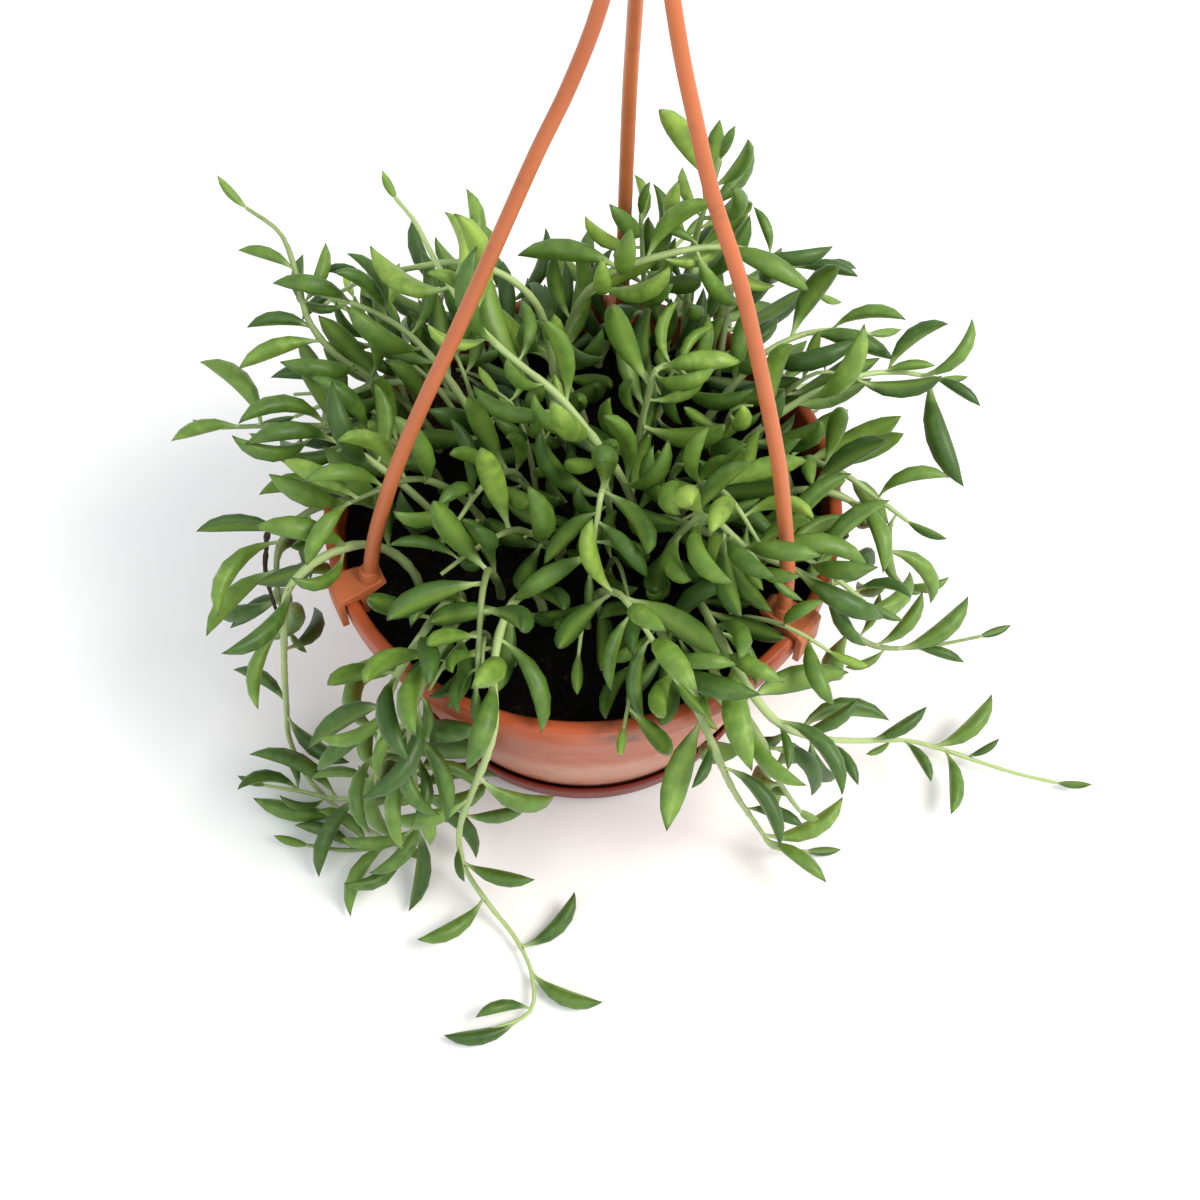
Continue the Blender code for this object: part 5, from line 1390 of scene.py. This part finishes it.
def make_soil(material):
    """The soil: uneven ground with crumbs and bark half sunk in it."""
    soil = turn_from_ring("soil_ground", fine_soil_profile(), SOIL_SIDES_FINE)
    draw = np.random.default_rng(CRUMB_SEED)
    points = coordinates(soil.data)
    edge = soil_edge()
    top = np.abs(points[:, 2] - SOIL_LEVEL) < CLEARANCE
    x, y = points[top, 0], points[top, 1]
    calm = np.clip((edge - np.hypot(x, y)) / CALM_EDGE, 0.0, 1.0)
    points[top, 2] = soil_height(x, y) + calm * crumble(x, y, draw)
    move_points(soil.data, points)
    crumb = lump("crumb", CRUMB_FLATNESS, draw)
    reach = np.sqrt(draw.uniform(0.0, 1.0, CRUMB_COUNT)) * (edge - CRUMB_FROM_EDGE)
    angle = draw.uniform(0.0, FULL_TURN, CRUMB_COUNT)
    places = np.column_stack([reach * np.cos(angle), reach * np.sin(angle)])
    parts = scatter(crumb, places, draw.uniform(*CRUMB_SIZE, CRUMB_COUNT), CRUMB_RISE, draw)
    bark = lump("bark", BARK_FLATNESS, draw)
    places = draw.normal(0.0, BARK_REACH * 0.5, (BARK_COUNT, 2)) + np.array(BARK_PLACE)
    places = places[np.hypot(*places.T) < edge - BARK_FROM_EDGE]
    parts += scatter(bark, places, draw.uniform(*BARK_SIZE, len(places)), BARK_RISE, draw)
    for model in (crumb, bark):
        bpy.data.objects.remove(model, do_unlink=True)
    combine(soil, parts, "UNION")
    smooth(soil, SOIL_SMOOTH_DEGREES)
    hand_in(soil, "soil", material, "soil")


# Leaves and stems


def make_master_leaf():
    """One straight leaf, extruded ring by ring: across along X, depth along Y, length along Z."""
    deselect()
    share, width = FINE_STATIONS[0]
    bpy.ops.mesh.primitive_circle_add(vertices=FINE_SIDES, radius=width * MM, fill_type="NGON",
                                      location=(0.0, 0.0, share * MM))
    leaf = bpy.context.object
    leaf.name = "master_leaf"
    edit(leaf)
    for (s0, w0), (s1, w1) in zip(FINE_STATIONS, FINE_STATIONS[1:]):
        rise = (0.0, 0.0, (s1 - s0) * MM)
        bpy.ops.mesh.extrude_region_move(TRANSFORM_OT_translate={"value": rise})
        if w1 > 0.0:
            size = w1 / w0
            bpy.ops.transform.resize(value=(size, size, 1.0), center_override=(0.0, 0.0, s1 * MM))
    bpy.ops.mesh.merge(type="CENTER")
    close_edit()
    settle_place(leaf)
    return leaf


def note_place(mesh, place):
    """Note each point's share along its leaf, its side and its tone, which carries painted shade, for the
    material to read.
    """
    note = mesh.attributes.new("leaf_place", "FLOAT_VECTOR", "POINT")
    note.data.foreach_set("vector", place.ravel())


def bent_leaf(master, leaf, tone):
    """A copy of the master leaf at a leaf's size, wrapped round its arc."""
    mesh = master.data.copy()
    across, depth, share = coordinates(mesh).T
    narrowest, widest = WIDTH_CHANGE
    half_width = 0.5 * leaf.width * FINE_OVERSIZE * (narrowest + (widest - narrowest) * tone)
    half_depth = 0.5 * leaf.depth * FINE_OVERSIZE * np.where(depth > 0.0, BACK, BELLY)
    centre = leaf.centres(share)
    up = leaf.ups(share)
    placed = centre + (across * half_width)[:, None] * leaf.across + (depth * half_depth)[:, None] * up
    move_points(mesh, placed)
    reach = np.hypot(across, depth)
    around = np.where(reach > NO_SIDE, depth / np.maximum(reach, NO_SIDE), 1.0)
    note_place(mesh, np.column_stack([share, around, np.full(len(share), tone)]))
    return new_object("leaf", mesh)


def painted_light_share(leaf):
    """Painted light in a leaf's tone, from nought deep over the soil, where shade is painted, to one in the
    open.
    """
    x, y, z = leaf.centres([0.5])[0]
    if math.hypot(x, y) > RIM_RADIUS:
        return OUTSIDE_PAINTED_LIGHT
    return float(np.clip((z - PAINTED_SHADE_LEVEL) / (PAINTED_LIGHT_LEVEL - PAINTED_SHADE_LEVEL), 0.0, 1.0))


def hand_in_stem(item, material, *nodes):
    """Smooth a stem or leaf, give it its material and body, and hide the solids it stands for."""
    smooth(item, LEAF_SMOOTH_DEGREES)
    hand_in(item, "leafy_stem", material, *nodes)


def make_fine_stem(name, stem, leaves, radii, master, material, draw, *nodes):
    """One leafy stem with a slight swelling at each leaf, its leaves fused to it."""
    length = distances_along(stem)[-1]
    count = max(FEWEST_STEM_POINTS, round(length / FINE_STEM_STEP))
    route = smooth_route(stem, count)
    ripple = 1.0 + NODE_SWELL * draw.uniform(*SWELL_RANGE, count)
    young = 1.0 - YOUNG_TAPER * np.linspace(0.0, 1.0, count) ** 2
    thickness = np.linspace(*radii, count) * ripple * young
    item = rod(name, route, thickness, FINE_STEM_ROUNDNESS)
    note_place(item.data, np.tile((STEM_MARK, 0.0, draw.uniform(0.0, 1.0)), (len(item.data.vertices), 1)))
    parts = []
    for leaf in leaves:
        # Half the tone is random and half is painted shade that darkens leaves deep over the soil
        tone = 0.5 * draw.uniform(0.0, 1.0) + 0.5 * painted_light_share(leaf) + leaf.freshness
        parts.append(bent_leaf(master, leaf, float(np.clip(tone, 0.0, 1.0))))
    if parts:
        combine(item, parts, "UNION")
    hand_in_stem(item, material, *nodes)


def covers_bare_soil(place):
    """Whether something at a place would hide a bare patch of soil from the camera."""
    eye_x, eye_y, eye_z = CAMERA_PLACE
    share = (eye_z - SOIL_LEVEL) / (eye_z - place[2])
    x = eye_x + (place[0] - eye_x) * share
    y = eye_y + (place[1] - eye_y) * share
    return any(math.dist((x, y), patch[:2]) < patch[2] for patch in BARE_PATCHES)


def add_unless_covering(crowd, index, leaf, leaves, freshness):
    """Take a leaf that was found, unless it would hide a bare patch of soil."""
    if leaf and not covers_bare_soil(leaf.centres([SEEN_SHARE])[0]):
        leaf.freshness = freshness
        crowd.add_leaf(index, leaf, leaves)


def more_leaves(crowd, index, stem):
    """Smaller leaves in the room that the solids' leaves leave on a stem."""
    draw = np.random.default_rng(MORE_SEED + index)
    leaves = []
    distance = draw.uniform(*FIRST_LEAF_HEIGHT) - MORE_START
    last = last_place(index, stem)
    while distance < last:
        turn = draw.uniform(0.0, FULL_TURN)
        opening, bend, curl, length = draw_shape(draw, MORE_OPENING_DEGREES, MORE_LENGTH)
        place, _ = frame_at(stem, distance)
        outside = math.hypot(place[0], place[1]) > MORE_REACH or place[2] < MORE_LEVEL
        if not covers_bare_soil(place) and (index in DENSE_STEMS or not outside):
            leaf = first_that_fits(crowd, index, stem, distance, turn, length, opening, bend, curl)
            add_unless_covering(crowd, index, leaf, leaves, MORE_FRESHNESS)
        distance += MORE_SPACING * draw.uniform(*SPACING_CHANGE)
    return leaves


def shoot_route(zone, draw):
    """A leaning shoot rooted somewhere in its zone, or nothing where the soil stays bare."""
    _, azimuths, radii, reaches, heights = zone
    reach = math.sqrt(draw.uniform(radii[0] ** 2, radii[1] ** 2))
    angle = math.radians(draw.uniform(*azimuths))
    x = reach * math.cos(angle)
    y = reach * math.sin(angle)
    lean = angle + draw.uniform(-SHOOT_LEAN_CHANGE, SHOOT_LEAN_CHANGE)
    height = draw.uniform(*heights)
    out = draw.uniform(*reaches)
    ground = soil_height(x, y)
    if covers_bare_soil((x, y, ground)):
        return None
    route = [(x, y, ground - SHOOT_ROOT_DEPTH)]
    for t in np.linspace(0.0, 1.0, SHOOT_POINTS):
        side = out * t ** SHOOT_OUTWARD_POWER
        rise = height * math.sin(t * math.pi * SHOOT_ARCH) + SHOOT_FOOT_RISE * (1.0 - t)
        route.append((x + side * math.cos(lean), y + side * math.sin(lean), ground + rise))
    length = math.hypot(out, height)
    return smooth_route(route, max(SHOOT_POINTS, round(length / SHOOT_STEP)))


def route_is_free(crowd, route):
    """Whether a shoot's route keeps clear of the stems, leaves, hanger and pot."""
    dense = points_between(route, SEGMENT_SHARES)
    above = dense[dense[:, 2] > soil_height(dense[:, 0], dense[:, 1])]
    gap, _, _ = wall_gap(above)
    if (gap < SHOOT_RADIUS[0] + SHOOT_GAP).any():
        return False
    near = np.linalg.norm(crowd.centres - above.mean(axis=0), axis=1) < distances_along(route)[-1]
    offset = np.linalg.norm(above[:, None, :] - crowd.centres[near][None, :, :], axis=2)
    return bool((offset - crowd.radii[near][None, :] > SHOOT_RADIUS[0] + SHOOT_GAP).all())


def shoots(crowd, first_index):
    """Young shoots that fill the room between the stems, zone by zone, with their leaves."""
    draw = np.random.default_rng(SHOOT_SEED)
    found = []
    for zone in SHOOT_ZONES:
        wanted = len(found) + zone[0]
        for _ in range(SHOOT_TRIES):
            route = shoot_route(zone, draw)
            if len(found) == wanted:
                break
            if route is None or not route_is_free(crowd, route):
                continue
            index = first_index + len(found)
            crowd.add_stem(index, route, SHOOT_RADIUS[0])
            found.append((route, leaves_of_shoot(crowd, index, route, draw)))
    return found


def leaves_of_shoot(crowd, index, route, draw):
    """Leaves in a spiral up a shoot."""
    leaves = []
    set_tip_leaf(crowd, index, route, leaves, SHOOT_TIP_FRESHNESS, draw)
    turn = draw.uniform(0.0, FULL_TURN)
    distance = draw.uniform(*SHOOT_FIRST_LEAF)
    last = last_place(index, route)
    while distance < last:
        turn += GOLDEN_ANGLE
        opening, bend, curl, length = draw_shape(draw, MORE_OPENING_DEGREES, SHOOT_LEAF_LENGTH)
        leaf = first_that_fits(crowd, index, route, distance, turn, length, opening, bend, curl)
        add_unless_covering(crowd, index, leaf, leaves, SHOOT_FRESHNESS)
        distance += SHOOT_LEAF_SPACING * draw.uniform(*SPACING_CHANGE)
    return leaves


def make_dried_bits(stems, crowd, master, material):
    """A thin dried stem that hangs beside the left stems, and a crumpled leaf above it."""
    draw = np.random.default_rng(DRIED_SEED)
    leaves = []
    set_by_hand(crowd, stems, leaves, *DRIED_LEAF)
    item = bent_leaf(master, leaves[0], 0.0)
    item.name = "dried_leaf_1"
    points = coordinates(item.data)
    move_points(item.data, points + draw.uniform(-DRIED_CRUMPLE, DRIED_CRUMPLE, points.shape))
    hand_in_stem(item, material)
    change = draw.uniform(*DRIED_STEM_CHANGE, DRIED_STEM_POINTS)
    thickness = np.linspace(*DRIED_STEM_RADII, DRIED_STEM_POINTS) * change
    route = smooth_route(DRIED_STEM, DRIED_STEM_POINTS)
    hand_in_stem(rod("dried_stem", route, thickness, FINE_STEM_ROUNDNESS), material)


def make_plant(material, dried):
    """All leafy stems of the solids, with more leaves on them, and the young shoots between them."""
    stems = settle_stems(stem_points())
    crowd = Crowd(stems)
    placed = placed_leaves(crowd, stems)
    sets = [leaves_of_stem(crowd, index, stem, placed[index]) for index, stem in enumerate(stems)]
    for leaf in sum(placed, []):
        leaf.width *= PLACED_OVERSIZE
        leaf.depth *= PLACED_OVERSIZE
    for index, stem in enumerate(stems):
        sets[index] += more_leaves(crowd, index, stem)
    young = shoots(crowd, len(stems))
    master = make_master_leaf()
    make_dried_bits(stems, crowd, master, dried)
    draw = np.random.default_rng(LEAF_SEED)
    thick = (STEM_FOOT_RADIUS, STEM_TIP_RADIUS)
    for index, (stem, leaves) in enumerate(zip(stems, sets)):
        node = "leafy_stem_%02d" % (index + 1)
        make_fine_stem("fine_" + node, stem, leaves, thick, master, material, draw, node)
    for number, (route, leaves) in enumerate(young):
        name = "young_shoot_%02d" % (number + 1)
        make_fine_stem(name, route, leaves, SHOOT_RADIUS, master, material, draw)
    bpy.data.objects.remove(master, do_unlink=True)


# Materials


def blank_material(name, values):
    """A material whose shader has the given values; returns it with its node tree and shader."""
    material = bpy.data.materials.new(name)
    material.use_nodes = True
    tree = material.node_tree
    shader = tree.nodes["Principled BSDF"]
    for key, value in values.items():
        shader.inputs[key].default_value = value
    return material, tree, shader


def node(tree, kind, inputs, **settings):
    """Add a node, set its settings, fill its inputs with values or links, and return its outputs."""
    made = tree.nodes.new(kind)
    for key, value in settings.items():
        setattr(made, key, value)
    for key, value in inputs.items():
        if isinstance(value, bpy.types.NodeSocket):
            tree.links.new(value, made.inputs[key])
        else:
            made.inputs[key].default_value = value
    return made.outputs


def point_place(tree):
    """Each point's place, in metres."""
    return node(tree, "ShaderNodeTexCoord", {})["Object"]


def speckle(tree, scale, detail, roughness):
    """Noise on Object coordinates, with a scale in spots to the metre."""
    inputs = {"Vector": point_place(tree), "Scale": scale, "Detail": detail, "Roughness": roughness}
    return node(tree, "ShaderNodeTexNoise", inputs)["Fac"]


def maths(tree, operation, first, second):
    """One maths step on values or links."""
    return node(tree, "ShaderNodeMath", {0: first, 1: second}, operation=operation)[0]


def product(tree, first, second):
    """Two values or links multiplied."""
    return maths(tree, "MULTIPLY", first, second)


def stretch(tree, value, low, high):
    """Spread a value from its own low and high to nought and one."""
    inputs = {"Value": value, "From Min": low, "From Max": high}
    return node(tree, "ShaderNodeMapRange", inputs)["Result"]


def patches(tree, scale, detail, roughness, low, high):
    """Noise spread from its low and high to nought and one."""
    return stretch(tree, speckle(tree, scale, detail, roughness), low, high)


def near_to(tree, place, far, full):
    """Nought from one distance of a place, in metres, and one within another."""
    inputs = {0: point_place(tree), 1: place}
    apart = node(tree, "ShaderNodeVectorMath", inputs, operation="DISTANCE")["Value"]
    return stretch(tree, apart, far, full)


def blend(tree, amount, first, second):
    """Mix two colours, each a colour or a link, by an amount."""
    inputs = {0: amount}
    for key, value in ((MIX_FIRST, first), (MIX_SECOND, second)):
        inputs[key] = value if isinstance(value, bpy.types.NodeSocket) else (*value, 1.0)
    return node(tree, "ShaderNodeMix", inputs, data_type="RGBA")[MIX_RESULT]


def ramp(tree, value, stops):
    """Colours along a value, as (place, colour) stops."""
    made = tree.nodes.new("ShaderNodeValToRGB")
    tree.links.new(value, made.inputs["Fac"])
    elements = made.color_ramp.elements
    while len(elements) < len(stops):
        elements.new(0.5)
    for element, (place, colour) in zip(elements, stops):
        element.position = place
        element.color = (*colour, 1.0)
    return made.outputs["Color"]


def finish_shader(tree, shader, colour, relief):
    """Give a shader its colour and a fine relief."""
    *noise, strength, height = relief
    inputs = {"Height": speckle(tree, *noise), "Strength": strength, "Distance": height * MM}
    tree.links.new(node(tree, "ShaderNodeBump", inputs)["Normal"], shader.inputs["Normal"])
    tree.links.new(colour, shader.inputs["Base Color"])


def waxy_leaf():
    """Fleshy leaves: pale at the foot, mottled green and darker where shade is painted, with a clear line
    on the back and a dark tip.
    """
    material, tree, shader = blank_material("waxy_leaf", LEAF_SHADER)
    inputs = {0: node(tree, "ShaderNodeAttribute", {}, attribute_name="leaf_place")["Vector"]}
    along, around, tone = node(tree, "ShaderNodeSeparateXYZ", inputs)
    mottle = product(tree, maths(tree, "SUBTRACT", speckle(tree, *LEAF_MOTTLE), 0.5), MOTTLE_AMOUNT)
    # For leaves the tone carries painted shade on those deep in the plant
    lit = maths(tree, "ADD", tone, mottle)
    window = product(tree, stretch(tree, around, *WINDOW_SIDE), WINDOW_AMOUNT)
    flesh = blend(tree, window, ramp(tree, lit, LEAF_TONES), LEAF_FRESH)
    flesh = blend(tree, stretch(tree, along, *FOOT_SHARES), flesh, STEM_PALE)
    flesh = blend(tree, stretch(tree, along, *TIP_SHARES), flesh, LEAF_TIP)
    is_stem = maths(tree, "LESS_THAN", along, STEM_MARK * 0.5)
    finish_shader(tree, shader, blend(tree, is_stem, flesh, ramp(tree, lit, STEM_TONES)), LEAF_RELIEF)
    return material


def painted_reflection_and_rim_patch(tree, skin):
    """Painted reflection, pale on the pot's wall under the lip, and a darker brown patch on the front of
    its rim.
    """
    # Painted reflection: pale colour on the lower wall, with a ragged upper edge and in patches
    height = node(tree, "ShaderNodeSeparateXYZ", {0: point_place(tree)})["Z"]
    ragged = maths(tree, "ADD", height, product(tree, speckle(tree, *PAINTED_REFLECTION_EDGE), PAINTED_REFLECTION_RAGGEDNESS * MM))
    painted_reflection = product(tree, stretch(tree, ragged, *metres(PAINTED_REFLECTION_HEIGHTS)), patches(tree, *PAINTED_REFLECTION_PATCHES))
    skin = blend(tree, product(tree, painted_reflection, PAINTED_REFLECTION_AMOUNT), skin, PAINTED_REFLECTION_COLOUR)
    # A darker brown patch in streaks on the front of the rim
    near = near_to(tree, metres(RIM_PATCH_PLACE), *metres(RIM_PATCH_REACH))
    rim_patch = product(tree, near, patches(tree, *RIM_PATCH_STREAKS))
    return blend(tree, product(tree, rim_patch, RIM_PATCH_AMOUNT), skin, RIM_PATCH_COLOUR)


def moulded_plastic(name, colours, roughness, with_reflection_and_patch=False):
    """Moulded plastic with faint cloudy colour, a slight orange-peel skin and a little soil dust."""
    material, tree, shader = blank_material(name, PLASTIC_SHADER)
    skin = blend(tree, product(tree, patches(tree, *PLASTIC_CLOUD), CLOUD_AMOUNT), *colours)
    # Only the pot gets the painted reflection on its wall and the dark patch on its rim
    if with_reflection_and_patch:
        skin = painted_reflection_and_rim_patch(tree, skin)
    skin = blend(tree, product(tree, patches(tree, *PLASTIC_DUST), DUST_AMOUNT), skin, DUST)
    gloss = product(tree, patches(tree, *PLASTIC_GLOSS), GLOSS_CHANGE)
    tree.links.new(maths(tree, "ADD", gloss, roughness + GLOSS_SHIFT), shader.inputs["Roughness"])
    finish_shader(tree, shader, skin, PLASTIC_RELIEF)
    return material


def dried_plant():
    """Dead leaves and stems, from brown to nearly black."""
    material, tree, shader = blank_material("dried_plant", DRIED_SHADER)
    colour = blend(tree, patches(tree, *DRIED_GRAIN), DRIED_BLACK, DRIED_BROWN)
    finish_shader(tree, shader, colour, DRIED_RELIEF)
    return material


def potting_soil():
    """Damp soil, nearly black, with browner bark at the back left."""
    material, tree, shader = blank_material("potting_soil", SOIL_SHADER)
    grain = patches(tree, *SOIL_GRAIN)
    near = near_to(tree, metres((*BARK_PLACE, SOIL_LEVEL)), *metres(BARK_FADE))
    colour = blend(tree, near, ramp(tree, grain, SOIL_TONES), ramp(tree, grain, BARK_TONES))
    finish_shader(tree, shader, colour, SOIL_RELIEF)
    return material


# Camera, light and floor


def make_camera():
    """The camera, at the photo's viewing angle."""
    lens = bpy.data.cameras.new("camera")
    lens.lens = CAMERA_LENS
    lens.sensor_width = CAMERA_SENSOR
    camera = new_object("camera", lens)
    camera.location = metres(CAMERA_PLACE)
    camera.rotation_euler = (math.radians(CAMERA_TILT_DEGREES), 0.0, 0.0)
    bpy.context.scene.camera = camera


def make_floor():
    """The pale surface that the plant stands on."""
    deselect()
    bpy.ops.mesh.primitive_plane_add(size=FLOOR_SIZE * MM)
    floor = bpy.context.object
    floor.name = "studio_floor"
    material, _, _ = blank_material("studio_paper", FLOOR_SHADER)
    floor.data.materials.append(material)


def soft_light(name, place, target, size, power, colour):
    """A square soft light that faces a target."""
    light = bpy.data.lights.new(name, "AREA")
    light.size = size * MM
    light.energy = power
    light.color = colour
    item = new_object(name, light)
    item.location = metres(place)
    aim = Vector(target) - Vector(place)
    item.rotation_euler = aim.to_track_quat("-Z", "Y").to_euler()


def light_studio():
    """Bright even daylight, with the main light from the right that leaves soft shadows to the left."""
    world = bpy.data.worlds.new("studio_sky")
    world.use_nodes = True
    sky = world.node_tree.nodes["Background"]
    sky.inputs["Color"].default_value = (*SKY_COLOUR, 1.0)
    sky.inputs["Strength"].default_value = SKY_STRENGTH
    bpy.context.scene.world = world
    bpy.context.scene.view_settings.view_transform = "Standard"
    for light in LIGHTS:
        soft_light(*light)


# Assembly


def main():
    """Make every fine piece and the studio."""
    make_camera()
    make_floor()
    light_studio()
    make_pot(moulded_plastic("terracotta_plastic", POT_COLOURS, POT_ROUGHNESS, with_reflection_and_patch=True))
    make_saucer(moulded_plastic("dark_saucer_plastic", SAUCER_COLOURS, POT_ROUGHNESS))
    make_hanger(moulded_plastic("orange_hanger_plastic", HANGER_COLOURS, HANGER_ROUGHNESS))
    make_soil(potting_soil())
    make_plant(waxy_leaf(), dried_plant())


main()
